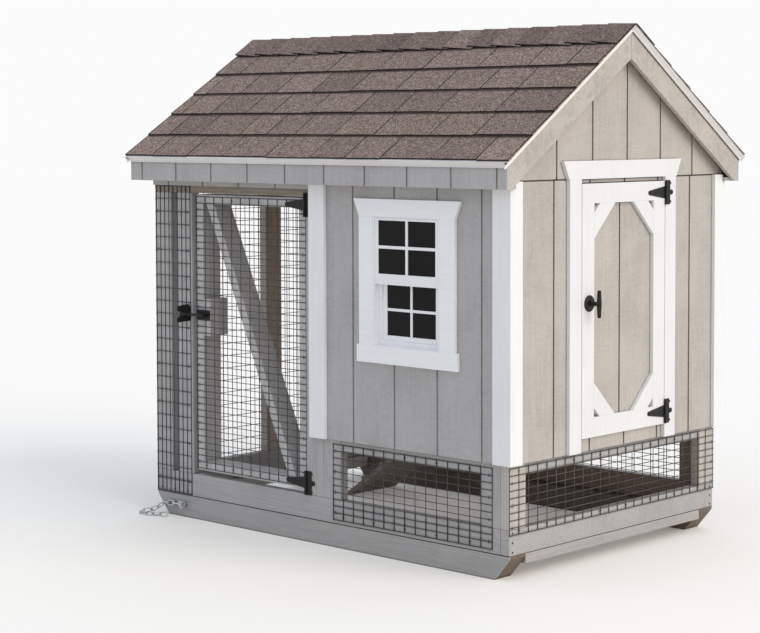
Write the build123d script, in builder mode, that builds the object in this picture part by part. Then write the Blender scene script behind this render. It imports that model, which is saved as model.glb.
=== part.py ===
from build123d import *
import os
from math import atan, cos, radians, sin, tan

os.makedirs("parts", exist_ok=True)

IN = 25.4

# Timber frame. X runs along the ridge with the house at +X and the run at -X,
# the front with the run door and the window faces -Y, and Z is up from the ground.
frame_length = 72 * IN
frame_width = 48 * IN
stud_thin = 1.5 * IN
stud_wide = 3.5 * IN
skid_size = 3.5 * IN
skid_bevel_run = 66
skid_bevel_rise = 78
floor_frame_bottom = 359
floor_thick = 15
plate_top = 1377
end_plate_drop = 29

# Sheet siding with vertical grooves, and the white boards over it
siding_thick = 13.5
groove_pitch = 8 * IN
groove_width = 9
groove_depth = 5
front_groove_inset = 207
gable_groove = -372.5
wall_end_groove = -387.5
fascia_groove_inset = 12.4
siding_rise = 42
gable_seam_drop = 16
frieze_drop = 61
trim_thick = 15.5
corner_trim_wide = 80.4
end_trim_wide = 50
mid_trim_lap = 8
mid_trim_wide = 80

# Roof
roof_angle = 34
birdsmouth_heel = 15.2
rafter_count = 4
ridge_board_thick = 19
ridge_board_deep = 140
sheathing_thick = 0.75 * IN
eave_overhang = 80.4
gable_overhang = 42.1
rake_wide = 98
rake_thick = 15.5
fly_rafter_deep = 60
fascia_drop = 41
drip_edge_thick = 1.2
drip_edge_leg = 50
drip_nose = 16
drip_fall = 14
drip_lip_out = 4.5
drip_lip_fall = 5
shingle_overhang_eave = 18
shingle_overhang_rake = 20
shingle_exposure = 146
shingle_butt = 5
shingle_head = 2
cap_reach = 128
cap_butt = 5
cap_head = 2
cap_clear = 1
cap_count = 14
roof_fit = 0.2
ridge_gap = 0.5

# Walls of the run and house along X
house_length = 926.4
latch_panel_wide = 213.4
latch_gap = 25
hinge_gap = 4
hinge_post_wide = 50

# Welded wire: two layers of wire crossing at right angles, and how far the panels lap the timber
wire = 2.5
mesh_fine = 1 * IN
mesh_coarse = 2 * IN
layer_gap = 0.05
run_mesh_edge = 5.4
panel_mesh_edge = 7.7
low_mesh_edge = 15.1
low_mesh_lap = 37
low_mesh_tail = 52.6
low_mesh_rise = 24.4
end_mesh_lap = 17.8
end_mesh_rise = 29.6
door_mesh_edge = 9

# Run door and its latch block, on edge behind its mesh
run_door_sill_gap = 20.2
run_door_head_gap = 5.1
brace_foot_inset = 20
latch_block_drop = 83
latch_block_high = 146

# House door
house_door_wide = 494
door_sill_high = 49
door_head_gap = 16
door_gap = 3
door_board_wide = 70
door_brace_wide = 63.5
door_corner_cut = 123
door_groove = -10
door_trim_wide = 66
head_trim_high = 64
head_trim_overhang = 4
head_trim_flare = 30
door_stud_gap = 42
door_stop_thick = 12.4
door_stop_lap = 12

# Window
window_inset = 317
window_wide = 321
window_head_drop = 151
window_high = 460
casing_wide = 67
window_head_flare = 27
apron_high = 63
apron_ears = 12
window_side_lap = 6
window_end_lap = 21
window_side_wall = 7.5
window_end_wall = 3
sash_thick = 16
upper_stile = 20.5
lower_stile = 34
lower_track = 4.5
lower_end_wall = 14
sash_rail = 30
lower_bottom_rail = 37
upper_top_rail = 5
muntin = 14
glass_thick = 3
glass_lap = 3.5
sash_clear = 0.5
sash_setback = 4.6
window_frame_setback = 1.6
window_frame_deep = 45

# Tee hinges
strap_length = 106
strap_root_high = 44
strap_tip_radius = 8
leaf_wide = 28
leaf_high = 89
ear_reach = 46
ear_radius = 9
hinge_plate = 2.5
knuckle_radius = 5
knuckle_lift = 0.3
strap_knuckle = 30
knuckle_gap = 0.5
pin_radius = 2.5
pin_sides = 12
pin_fit = 0.1
pin_clear = 0.4
house_hinge_insets = (47, 42)
run_hinge_insets = (24, 26)

# Tee handle on the house door
handle_inset = 40
handle_height = 475
rosette_radius = 29
rosette_rim = 2.5
rosette_thick = 7
rosette_dome = 7
spindle_radius = 5
handle_neck_radius = 8
handle_reach = 44
handle_bar_long = 97
handle_bar_radius = 9
handle_end_radius = 6.75
handle_tip_radius = 4.5
handle_bar_ease = 3
handle_bar_sides = 12
turn_clear = 0.4
latch_bar_long = 66
latch_bar_wide = 22
latch_bar_thick = 6
latch_bar_clear = 2

# Gate latch on the run door
latch_height = 615
latch_plate_edge = 5
latch_plate_wide = 62
latch_plate_high = 56
latch_plate_thick = 3
cheek_edge = 7
cheek_thick = 3
cheek_gap = 7
cheek_reach = 54
cheek_flare = 3
cheek_root = 9
slot_half = 7
mouth_half = 17
mouth_deep = 14
striker_stand = 25
striker_radius = 5
striker_reach = 37
striker_plate_edge = 4
striker_plate_wide = 74
striker_plate_high = 36
striker_foot_inset = 24
striker_foot_edge = 6
catch_pivot_stand = 11
catch_pivot_rise = 24
catch_thick = 5
catch_length = 36
catch_eye_radius = 7
catch_arm_half = 4.5
catch_pin_radius = 3

# Pop hole between house and run, its sliding door and the ramp
pop_wall_gap = 121.5
pop_wide = 300
pop_sill = 40.1
pop_high = 340
pop_door_lap = 12
pop_door_thick = 12
pop_clear = 0.6
guide_side = 20
guide_lip = 12
ramp_inset = 10
ramp_run = 608
ramp_thick = 18
ramp_drop = 15
ground_gap = 0.5
cleat_count = 5
cleat_wide = 20
cleat_high = 10

# Inside the house: each roost's distance from the partition and height over the floor, and the nests
roost_size = 38
roost_seats = ((161, 336.1), (246, 456.1))
nest_inset = 302
nest_gap = 7.4
nest_deep = 281.5
nest_board = 12
nest_front_high = 285
nest_back_high = 380
nest_lip_high = 100

# Tow chain: where its bolt is, how far the first links hang below it, and each link's heading
chain_wire = 6
chain_straight = 20
chain_bend = 9
chain_side_gap = 1
chain_bolt_inset = 167.4
chain_bolt_z = 52
chain_drops = (1, 2.5, 5, 10, 28)
chain_headings = (180, 180, 180, 182, 190, 200, 240, 300, 0, 15, 30, 10)
link_quarter = 90
link_lean = 45
bolt_radius = 4
bolt_fit = 0.2
bolt_deep = 60
bolt_stand = 25
bolt_head_radius = 8
bolt_head_high = 6
washer_radius = 14
washer_thick = 2.5

# Planes and lines worked out from the sizes above
half_length = frame_length / 2
half_width = frame_width / 2
inner_x = half_length - stud_thin
inner_y = half_width - stud_thin
rail_top = skid_size + stud_wide
plate_bottom = plate_top - stud_wide
end_plate_bottom = plate_top - end_plate_drop
floor_frame_top = floor_frame_bottom + stud_wide
floor_top = floor_frame_top + floor_thick
siding_bottom = floor_frame_bottom + siding_rise
gable_seam = plate_top - gable_seam_drop
frieze_bottom = plate_top - frieze_drop
fascia_bottom = plate_top - fascia_drop
siding_face = half_width + siding_thick
end_siding_face = half_length + siding_thick
trim_face = siding_face + trim_thick
end_trim_face = end_siding_face + trim_thick
soffit_top = fascia_bottom + siding_thick
partition_left = half_length - house_length
partition_right = partition_left + stud_thin
house_post_right = partition_right + stud_wide
corner_post_left = inner_x - stud_wide
gable_post_y = half_width - stud_wide
front_groove = partition_left + front_groove_inset
mid_trim_left = partition_left - mid_trim_lap
latch_post_right = -half_length + latch_panel_wide
hinge_post_left = partition_left - hinge_post_wide
run_door_left = latch_post_right + latch_gap
run_door_right = hinge_post_left - hinge_gap
run_door_bottom = rail_top + run_door_sill_gap
run_door_top = plate_bottom - run_door_head_gap
house_door_bottom = siding_bottom + door_sill_high
house_door_top = gable_seam - door_head_gap
door_half = house_door_wide / 2
window_left = partition_left + window_inset
window_right = window_left + window_wide
window_top = plate_top - window_head_drop
window_bottom = window_top - window_high
roof_slope = tan(radians(roof_angle))
slope_cos = cos(radians(roof_angle))
slope_sin = sin(radians(roof_angle))
rafter_drop = stud_wide / slope_cos
rafter_under_wall = plate_top - birdsmouth_heel
deck_under_wall = rafter_under_wall + rafter_drop
eave_face = half_width + eave_overhang
fascia_back = eave_face - siding_thick
rake_face = end_siding_face + gable_overhang
rake_back = rake_face - rake_thick
shingle_eave = eave_face + shingle_overhang_eave
shingle_end = rake_face + shingle_overhang_rake
mesh_thick = 2 * wire + layer_gap
window_hole_x = (window_left - window_side_lap, window_right + window_side_lap)
window_hole_z = (window_bottom - window_end_lap, window_top + window_end_lap)


def deck_under(y):
    """Height of the roof deck's underside at a distance y from the ridge line."""
    return deck_under_wall + (half_width - y) * roof_slope


def over_deck(y, thickness):
    """Height of a surface laid a given thickness over the roof deck's top, square to it."""
    return deck_under(y) + (sheathing_thick + thickness) / slope_cos


def save(label, *pieces):
    """Write one node: a single solid, or a group of separate solids."""
    node = pieces[0] if len(pieces) == 1 else Compound(list(pieces))
    node.label = label
    export_step(node, f"parts/{label}.step")


def back(span):
    """The same span on the other side of the ridge line."""
    return (-span[1], -span[0])


def board(x, y, z):
    """A square-cut board that fills three (low, high) spans."""
    with BuildPart() as piece:
        with BuildSketch(Plane.XY.offset(z[0])):
            with Locations((sum(x) / 2, sum(y) / 2)):
                Rectangle(x[1] - x[0], y[1] - y[0])
        extrude(amount=z[1] - z[0])
    return piece.part


def along_x(points, x):
    """A profile of (y, z) points carried along X."""
    with BuildPart() as piece:
        with BuildSketch(Plane.YZ.offset(x[0])):
            with BuildLine():
                Polyline(*points, close=True)
            make_face()
        extrude(amount=x[1] - x[0])
    return piece.part


def along_y(points, y):
    """A profile of (x, z) points carried along Y."""
    with BuildPart() as piece:
        with BuildSketch(Plane.XZ.offset(-y[1])):
            with BuildLine():
                Polyline(*points, close=True)
            make_face()
        extrude(amount=y[1] - y[0])
    return piece.part


def along_z(points, z):
    """A profile of (x, y) points carried upward."""
    with BuildPart() as piece:
        with BuildSketch(Plane.XY.offset(z[0])):
            with BuildLine():
                Polyline(*points, close=True)
            make_face()
        extrude(amount=z[1] - z[0])
    return piece.part


def groove_places(first, low, high):
    """Every groove of the siding's pattern that lies well inside a span."""
    step = int((low - first) // groove_pitch)
    place = first + step * groove_pitch
    places = []
    while place < high - groove_width:
        if place > low + groove_width:
            places.append(place)
        place += groove_pitch
    return places


def grooved(face, points, first, holes=()):
    """A sheet of siding behind a face plane, with its holes and its vertical grooves."""
    across = [point[0] for point in points]
    heights = [point[1] for point in points]
    with BuildPart() as sheet:
        with BuildSketch(face):
            with BuildLine():
                Polyline(*points, close=True)
            make_face()
            for x, z in holes:
                with Locations((sum(x) / 2, sum(z) / 2)):
                    Rectangle(x[1] - x[0], z[1] - z[0], mode=Mode.SUBTRACT)
        extrude(amount=-siding_thick)
        with BuildSketch(face):
            for place in groove_places(first, min(across), max(across)):
                with Locations((place, (min(heights) + max(heights)) / 2)):
                    Rectangle(groove_width, max(heights) - min(heights) + 2)
        extrude(amount=-groove_depth, mode=Mode.SUBTRACT)
    return sheet.part


def facing_front(y):
    """A plane at -y that faces the front, with X across and Z up."""
    return Plane(origin=(0, -y, 0), x_dir=(1, 0, 0), z_dir=(0, -1, 0))


def facing_back(y):
    """A plane at +y that faces the back, with -X across and Z up."""
    return Plane(origin=(0, y, 0), x_dir=(-1, 0, 0), z_dir=(0, 1, 0))


def facing_house_end(x):
    """A plane at x that faces the house end, with Y across and Z up."""
    return Plane(origin=(x, 0, 0), x_dir=(0, 1, 0), z_dir=(1, 0, 0))


def facing_run_end(x):
    """A plane at -x that faces the run end, with -Y across and Z up."""
    return Plane(origin=(-x, 0, 0), x_dir=(0, -1, 0), z_dir=(-1, 0, 0))


def rectangle_points(x, z):
    """The corners of a rectangle."""
    return [(x[0], z[0]), (x[1], z[0]), (x[1], z[1]), (x[0], z[1])]


def mesh(face, across, heights, across_gap, height_gap):
    """A welded wire panel on a face plane: upright wires behind, level wires in front."""
    wide, high = across[1] - across[0], heights[1] - heights[0]
    columns, rows = round(wide / across_gap), round(high / height_gap)
    column, row = wide / columns, high / rows
    middle = (sum(across) / 2, sum(heights) / 2)
    with BuildPart() as upright:
        with BuildSketch(face):
            with Locations(middle):
                Rectangle(wide + wire, high + wire)
                with GridLocations(column, 0, columns, 1):
                    Rectangle(column - wire, high - wire, mode=Mode.SUBTRACT)
        extrude(amount=wire)
    with BuildPart() as level:
        with BuildSketch(face.offset(wire + layer_gap)):
            with Locations(middle):
                Rectangle(wide + wire, high + wire)
                with GridLocations(0, row, 1, rows):
                    Rectangle(wide - wire, row - wire, mode=Mode.SUBTRACT)
        extrude(amount=wire)
    return upright.part, level.part


# Skids: square timbers under both long sides, with sledge ends
chain_bolt_x = -half_length + chain_bolt_inset
skid_profile = [
    (-half_length + skid_bevel_run, 0),
    (half_length - skid_bevel_run, 0),
    (half_length, skid_bevel_rise),
    (half_length, skid_size),
    (-half_length, skid_size),
    (-half_length, skid_bevel_rise),
]
skid_span = (-half_width, -half_width + skid_size)
with BuildPart() as front_skid:
    add(along_y(skid_profile, skid_span))
    with BuildSketch(Plane.XZ.offset(half_width)):
        with Locations((chain_bolt_x, chain_bolt_z)):
            Circle(bolt_radius + bolt_fit)
    extrude(amount=-bolt_deep, mode=Mode.SUBTRACT)
save("skids", front_skid.part, along_y(skid_profile, back(skid_span)))

# Flat boards that tie the skids together at both ends
tie_y = (-half_width + skid_size, half_width - skid_size)
tie_z = (skid_size - stud_thin, skid_size)
tie_x = (half_length - stud_wide, half_length)
save("skid_ties", board(tie_x, tie_y, tie_z), board(back(tie_x), tie_y, tie_z))

# Bottom rails: the end rails lap the ends of the side rails
rail_z = (skid_size, rail_top)
front_y = (-half_width, -inner_y)
end_x = (inner_x, half_length)
save(
    "bottom_rails",
    board((-inner_x, inner_x), front_y, rail_z),
    board((-inner_x, inner_x), back(front_y), rail_z),
    board(end_x, (-half_width, half_width), rail_z),
    board(back(end_x), (-half_width, half_width), rail_z),
)

# Studs of the two long walls
post_z = (rail_top, plate_bottom)
deep_y = (-half_width, -half_width + stud_wide)
run_corner_x = (-half_length, -half_length + stud_wide)
partition_x = (partition_left, partition_right)
house_post_x = (partition_right, house_post_right)
corner_post_x = (corner_post_left, inner_x)
side_studs = [
    (run_corner_x, front_y),
    (partition_x, deep_y),
    (house_post_x, front_y),
    (corner_post_x, front_y),
]
window_stud_z = (floor_frame_top, plate_bottom)
front_studs = [board(x, y, post_z) for x, y in side_studs]
for left in (window_hole_x[0] - stud_thin, window_hole_x[1]):
    front_studs.append(board((left, left + stud_thin), front_y, window_stud_z))
save("front_wall_studs", *front_studs)
run_middle_x = (-half_length / 2 - stud_wide / 2, -half_length / 2 + stud_wide / 2)
back_studs = [board(x, back(y), post_z) for x, y in side_studs]
back_studs.append(board(run_middle_x, back(front_y), post_z))
save("back_wall_studs", *back_studs)

# Posts that carry the run door: the latch post and the ripped hinge post
save(
    "run_door_posts",
    board((latch_post_right - stud_wide, latch_post_right), front_y, post_z),
    board((hinge_post_left, partition_left), deep_y, post_z),
)

# Studs of the two end walls
gable_post_span = (-half_width, -gable_post_y)
door_stud_low = door_half + door_gap + door_stud_gap
door_stud_y = (door_stud_low, door_stud_low + stud_thin)
door_stud_x = (half_length - stud_wide, half_length)
door_stud_z = (floor_top, end_plate_bottom)
middle_post_y = (-stud_wide / 2, stud_wide / 2)
save(
    "end_wall_studs",
    board(end_x, gable_post_span, post_z),
    board(end_x, back(gable_post_span), post_z),
    board(door_stud_x, door_stud_y, door_stud_z),
    board(door_stud_x, back(door_stud_y), door_stud_z),
    board(back(end_x), middle_post_y, (rail_top, end_plate_bottom)),
)

# Plates on top of the walls
plate_z = (plate_bottom, plate_top)
end_plate_z = (end_plate_bottom, end_plate_bottom + stud_thin)
end_plate_y = (-inner_y, inner_y)
save(
    "top_plates",
    board((-half_length, half_length), front_y, plate_z),
    board((-half_length, half_length), back(front_y), plate_z),
    board(end_x, end_plate_y, end_plate_z),
    board(back(end_x), end_plate_y, end_plate_z),
)

# House floor: joists on edge between the posts, and the sheet over them
joist_z = (floor_frame_bottom, floor_frame_top)
joist_y = (-gable_post_y, gable_post_y)
header_x = (house_post_right, corner_post_left)
save(
    "floor_joists",
    board(header_x, front_y, joist_z),
    board(header_x, back(front_y), joist_z),
    board(partition_x, joist_y, joist_z),
    board(end_x, joist_y, joist_z),
)
floor_points = [
    (partition_right, -inner_y),
    (inner_x, -inner_y),
    (inner_x, -gable_post_y),
    (half_length, -gable_post_y),
    (half_length, gable_post_y),
    (inner_x, gable_post_y),
    (inner_x, inner_y),
    (partition_right, inner_y),
]
save("floor_panel", along_z(floor_points, (floor_frame_top, floor_top)))

# Grooved siding of the house
wall_x = (partition_left, end_siding_face)
wall_z = (siding_bottom, soffit_top)
front_points = rectangle_points(wall_x, wall_z)
back_points = rectangle_points(back(wall_x), wall_z)
window_hole = (window_hole_x, window_hole_z)
save("front_siding", grooved(facing_front(siding_face), front_points, front_groove, [window_hole]))
save("back_siding", grooved(facing_back(siding_face), back_points, -front_groove))
door_hole_half = door_half + door_gap
door_hole = (
    (-door_hole_half, door_hole_half),
    (house_door_bottom - door_gap, house_door_top + door_gap),
)
end_wall_face = facing_house_end(end_siding_face)
end_wall_points = rectangle_points((-half_width, half_width), (siding_bottom, gable_seam))
save("house_end_siding", grooved(end_wall_face, end_wall_points, wall_end_groove, [door_hole]))

# Grooved siding in the two gable triangles, with ears that close the ends of the eave boxes
gable_side = [
    (siding_face, gable_seam),
    (siding_face, soffit_top),
    (fascia_back, soffit_top),
    (fascia_back, deck_under(fascia_back) - roof_fit),
]
gable_points = gable_side + [(0, deck_under(0) - roof_fit)] + [(-y, z) for y, z in reversed(gable_side)]
save(
    "gable_sidings",
    grooved(end_wall_face, gable_points, gable_groove),
    grooved(facing_run_end(end_siding_face), gable_points, gable_groove),
)

# Grooved strips above the run, under the eaves
frieze_points = rectangle_points((-half_length, mid_trim_left), (frieze_bottom, soffit_top))
back_frieze_points = rectangle_points((-mid_trim_left, half_length), (frieze_bottom, soffit_top))
save(
    "run_friezes",
    grooved(facing_front(siding_face), frieze_points, front_groove),
    grooved(facing_back(siding_face), back_frieze_points, -front_groove),
)

# Partition between house and run, notched under the ridge board, with the pop hole
pop_right = inner_y - pop_wall_gap
pop_left = pop_right - pop_wide
pop_bottom = floor_top + pop_sill
ridge_bottom = deck_under(0) - ridge_board_thick / 2 * roof_slope - roof_fit - ridge_board_deep
notch = ridge_board_thick / 2 + 1
partition_points = [
    (-inner_y, floor_top),
    (inner_y, floor_top),
    (inner_y, deck_under(inner_y) - 1),
    (notch, deck_under(notch) - 1),
    (notch, ridge_bottom - 1),
    (-notch, ridge_bottom - 1),
    (-notch, deck_under(notch) - 1),
    (-inner_y, deck_under(inner_y) - 1),
]
with BuildPart() as partition:
    with BuildSketch(Plane.YZ.offset(partition_right)):
        with BuildLine():
            Polyline(*partition_points, close=True)
        make_face()
        with Locations(((pop_left + pop_right) / 2, pop_bottom + pop_high / 2)):
            Rectangle(pop_right - pop_left, pop_high, mode=Mode.SUBTRACT)
    extrude(amount=siding_thick)
save("partition_panel", partition.part)

# White boards at the corners of the house and where house and run meet
trim_z = (siding_bottom, fascia_bottom)
trim_y = (-trim_face, -siding_face)
corner_trim_x = (end_trim_face - corner_trim_wide, end_trim_face)
mid_trim_x = (mid_trim_left, mid_trim_left + mid_trim_wide)
end_trim_x = (end_siding_face, end_trim_face)
end_trim_y = (-siding_face, -siding_face + end_trim_wide)
end_trim_z = (siding_bottom, gable_seam)
wall_trims = []
for side in (tuple, back):
    wall_trims.append(board(corner_trim_x, side(trim_y), trim_z))
    wall_trims.append(board(mid_trim_x, side(trim_y), trim_z))
    wall_trims.append(board(end_trim_x, side(end_trim_y), end_trim_z))
save("wall_trims", *wall_trims)

# Window trim: a flared head, two side casings and an apron with small ears
window_trim_z = (window_bottom, window_top)
casing_left = window_left - casing_wide
casing_right = window_right + casing_wide
window_head_points = [
    (casing_left, window_top),
    (casing_right, window_top),
    (casing_right + window_head_flare, window_top + head_trim_high),
    (casing_left - window_head_flare, window_top + head_trim_high),
]
apron_x = (casing_left - apron_ears, casing_right + apron_ears)
save(
    "window_trim",
    along_y(window_head_points, trim_y),
    board((casing_left, window_left), trim_y, window_trim_z),
    board((window_right, casing_right), trim_y, window_trim_z),
    board(apron_x, trim_y, (window_bottom - apron_high, window_bottom)),
)

# House door trim: a flared head over the gable seam and two side boards
door_trim_y = (door_hole_half, door_hole_half + door_trim_wide)
head_half = door_trim_y[1] + head_trim_overhang
door_head_points = [
    (-head_half, gable_seam),
    (head_half, gable_seam),
    (head_half + head_trim_flare, gable_seam + head_trim_high),
    (-head_half - head_trim_flare, gable_seam + head_trim_high),
]
save(
    "door_trim",
    along_x(door_head_points, end_trim_x),
    board(end_trim_x, door_trim_y, end_trim_z),
    board(end_trim_x, back(door_trim_y), end_trim_z),
)

# Strips inside the doorway that the house door closes against
stop_x = (half_length - door_stop_thick, half_length)
stop_y = (door_half - door_stop_lap, door_stud_low)
save("door_stops", board(stop_x, stop_y, door_stud_z), board(stop_x, back(stop_y), door_stud_z))

# Window frame: a flange in the wall's hole, a rim standing out through the trim, and the sash channels
window_centre = ((window_left + window_right) / 2, (window_bottom + window_top) / 2)
window_frame_front = trim_face - window_frame_setback
window_frame_back = window_frame_front - window_frame_deep
upper_sash_front = trim_face - sash_setback
lower_sash_front = upper_sash_front - sash_thick - 2 * sash_clear
lower_track_front = lower_sash_front + sash_clear
flange_size = (
    window_hole_x[1] - window_hole_x[0] - 2 * sash_clear,
    window_hole_z[1] - window_hole_z[0] - 2 * sash_clear,
)
rim_size = (window_right - window_left - 2 * sash_clear, window_top - window_bottom - 2 * sash_clear)
channel_size = (rim_size[0] - 2 * window_side_wall, rim_size[1] - 2 * window_end_wall)
track_size = (channel_size[0] - 2 * lower_track, flange_size[1] - 2 * lower_end_wall)
with BuildPart() as window_frame:
    with BuildSketch(facing_front(window_frame_front)):
        with Locations(window_centre):
            Rectangle(*rim_size)
            Rectangle(*channel_size, mode=Mode.SUBTRACT)
    extrude(amount=siding_face - window_frame_front)
    with BuildSketch(facing_front(siding_face)):
        with Locations(window_centre):
            Rectangle(*flange_size)
            Rectangle(*channel_size, mode=Mode.SUBTRACT)
    extrude(amount=lower_track_front - siding_face)
    with BuildSketch(facing_front(lower_track_front)):
        with Locations(window_centre):
            Rectangle(*flange_size)
            Rectangle(*track_size, mode=Mode.SUBTRACT)
    extrude(amount=window_frame_back - lower_track_front)
save("window_frame", window_frame.part)

# Sashes: each a rim with a bar cross, and one pane let in behind the bars
meeting_z = window_centre[1] - sash_rail / 3


def sash(label, front, outer_x, outer_z, stile, top_rail, bottom_rail):
    """A four-light sash and its pane."""
    light_x = (outer_x[0] + stile, outer_x[1] - stile)
    light_z = (outer_z[0] + bottom_rail, outer_z[1] - top_rail)
    centre = (sum(light_x) / 2, sum(light_z) / 2)
    light_wide, light_high = light_x[1] - light_x[0], light_z[1] - light_z[0]
    pane_front = front - sash_thick + glass_thick + glass_lap
    with BuildPart() as rim:
        with BuildSketch(facing_front(front)):
            with Locations((sum(outer_x) / 2, sum(outer_z) / 2)):
                Rectangle(outer_x[1] - outer_x[0], outer_z[1] - outer_z[0])
            with Locations(centre):
                Rectangle(light_wide, light_high, mode=Mode.SUBTRACT)
        extrude(amount=-sash_thick)
        with BuildSketch(facing_front(pane_front)):
            with Locations(centre):
                Rectangle(light_wide + 2 * glass_lap, light_high + 2 * glass_lap)
        extrude(amount=-glass_thick, mode=Mode.SUBTRACT)
        with BuildSketch(facing_front(front)):
            with Locations(centre):
                Rectangle(muntin, light_high)
                Rectangle(light_wide, muntin)
        extrude(amount=pane_front - front)
    with BuildPart() as pane:
        with BuildSketch(facing_front(pane_front)):
            with Locations(centre):
                Rectangle(light_wide + 2 * glass_lap, light_high + 2 * glass_lap)
        extrude(amount=-glass_thick)
    save(f"{label}_sash", rim.part)
    save(f"{label}_glass", pane.part)


upper_half = channel_size[0] / 2 - sash_clear
upper_x = (window_centre[0] - upper_half, window_centre[0] + upper_half)
upper_z = (meeting_z, window_centre[1] + channel_size[1] / 2 - sash_clear)
sash("upper", upper_sash_front, upper_x, upper_z, upper_stile, upper_top_rail, sash_rail)
lower_half = track_size[0] / 2 - sash_clear
lower_x = (window_centre[0] - lower_half, window_centre[0] + lower_half)
lower_z = (window_centre[1] - track_size[1] / 2 + sash_clear, meeting_z + sash_rail)
sash("lower", lower_sash_front, lower_x, lower_z, lower_stile, sash_rail, lower_bottom_rail)

# Rafters with birdsmouth seats, and the short fly rafters that carry the rakes
seat_end = half_width - birdsmouth_heel / roof_slope
ridge_side = ridge_board_thick / 2
tail_bottom = half_width - (soffit_top - rafter_under_wall) / roof_slope


def under_rafter(y):
    """Height of a rafter's underside."""
    return deck_under(y) - rafter_drop


rafter_points = [
    (ridge_side, deck_under(ridge_side) - roof_fit),
    (ridge_side, under_rafter(ridge_side)),
    (seat_end, plate_top),
    (half_width, plate_top),
    (half_width, rafter_under_wall),
    (tail_bottom, soffit_top),
    (fascia_back, soffit_top),
    (fascia_back, deck_under(fascia_back) - roof_fit),
]
fly_drop = fly_rafter_deep / slope_cos
fly_points = [
    (ridge_gap, deck_under(ridge_gap) - roof_fit),
    (ridge_gap, deck_under(ridge_gap) - fly_drop),
    (fascia_back, deck_under(fascia_back) - fly_drop),
    (fascia_back, deck_under(fascia_back) - roof_fit),
]
rafter_step = (frame_length - stud_thin) / (rafter_count - 1)
rafters = []
for index in range(rafter_count):
    left = -half_length + index * rafter_step
    for sign in (-1, 1):
        points = [(sign * y, z) for y, z in rafter_points]
        rafters.append(along_x(points, (left, left + stud_thin)))
for span in ((end_siding_face, rake_back), (-rake_back, -end_siding_face)):
    for sign in (-1, 1):
        rafters.append(along_x([(sign * y, z) for y, z in fly_points], span))
save("rafters", *rafters)
ridge_z = (ridge_bottom, ridge_bottom + ridge_board_deep)
save("ridge_board", board((-half_length, half_length), (-ridge_side, ridge_side), ridge_z))

# Roof deck: one sheet a side, with a thin gap at the ridge
deck = []
for sign in (-1, 1):
    deck_points = [
        (sign * ridge_gap, deck_under(ridge_gap)),
        (sign * eave_face, deck_under(eave_face)),
        (sign * eave_face, over_deck(eave_face, 0)),
        (sign * ridge_gap, over_deck(ridge_gap, 0)),
    ]
    deck.append(along_x(deck_points, (-rake_back, rake_back)))
save("roof_deck", *deck)

# Eave boxes: grooved fascias and the soffits behind them
fascia_x = (-rake_face, rake_face)
fascia_end_points = [
    (fascia_back, fascia_bottom),
    (eave_face, fascia_bottom),
    (eave_face, deck_under(eave_face) - roof_fit),
    (fascia_back, deck_under(fascia_back) - roof_fit),
]
fascia_groove = -half_length + fascia_groove_inset
fascias = []
fascia_sides = ((-1, facing_front(eave_face), fascia_groove), (1, facing_back(eave_face), -fascia_groove))
for sign, face, first in fascia_sides:
    with BuildPart() as fascia:
        with BuildSketch(Plane.YZ.offset(fascia_x[0])):
            with BuildLine():
                Polyline(*[(sign * y, z) for y, z in fascia_end_points], close=True)
            make_face()
        extrude(amount=fascia_x[1] - fascia_x[0])
        with BuildSketch(face):
            for place in groove_places(first, *fascia_x):
                with Locations((place, plate_top)):
                    Rectangle(groove_width, 2 * stud_wide)
        extrude(amount=-groove_depth, mode=Mode.SUBTRACT)
    fascias.append(fascia.part)
save("fascias", *fascias)
soffit_y = (-fascia_back, -siding_face)
soffit_z = (fascia_bottom, soffit_top)
soffit_x = (-rake_back, rake_back)
save("soffits", board(soffit_x, soffit_y, soffit_z), board(soffit_x, back(soffit_y), soffit_z))

# Rake boards up both gables, butted with a fine joint at the peak
rake_drop = rake_wide / slope_cos
level_cut = half_width - (fascia_bottom - (over_deck(half_width, 0) - rake_drop)) / roof_slope
rakes = []
for span in ((rake_back, rake_face), (-rake_face, -rake_back)):
    for sign in (-1, 1):
        rake_points = [
            (sign * ridge_gap, over_deck(ridge_gap, 0)),
            (sign * ridge_gap, over_deck(ridge_gap, 0) - rake_drop),
            (sign * level_cut, fascia_bottom),
            (sign * fascia_back, fascia_bottom),
            (sign * fascia_back, over_deck(fascia_back, 0)),
        ]
        rakes.append(along_x(rake_points, span))
save("rake_boards", *rakes)

# Drip edges: a metal strip along each eave and rake, with a leg on the deck under the shingles,
# a face that falls back from the nose to the board, and a kicked-out lip
drip_face = [
    (drip_nose, 0),
    (drip_nose + drip_edge_thick, 0),
    (2 * drip_edge_thick, -drip_fall),
    (2 * drip_edge_thick + drip_lip_out, -drip_fall - drip_lip_fall),
    (drip_edge_thick + drip_lip_out, -drip_fall - drip_lip_fall),
    (drip_edge_thick, -drip_fall),
]
nose_end = drip_nose + drip_edge_thick
drips = []
for sign in (-1, 1):
    leg_start, leg_end = eave_face - drip_edge_leg, eave_face + nose_end
    leg_points = [
        (sign * leg_start, over_deck(leg_start, 0)),
        (sign * leg_end, over_deck(leg_end, 0)),
        (sign * leg_end, over_deck(leg_end, drip_edge_thick)),
        (sign * leg_start, over_deck(leg_start, drip_edge_thick)),
    ]
    nose_z = over_deck(eave_face + drip_nose, 0)
    face_points = [(sign * (eave_face + out), nose_z + drop) for out, drop in drip_face]
    face_points[1] = (sign * leg_end, over_deck(leg_end, 0))
    with BuildPart() as eave_drip:
        with BuildSketch(Plane.YZ.offset(-rake_back + roof_fit)):
            with BuildLine():
                Polyline(*leg_points, close=True)
            make_face()
        extrude(amount=2 * (rake_back - roof_fit))
        with BuildSketch(Plane.YZ.offset(-rake_face)):
            with BuildLine():
                Polyline(*face_points, close=True)
            make_face()
        extrude(amount=2 * rake_face)
    drips.append(eave_drip.part)
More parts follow.
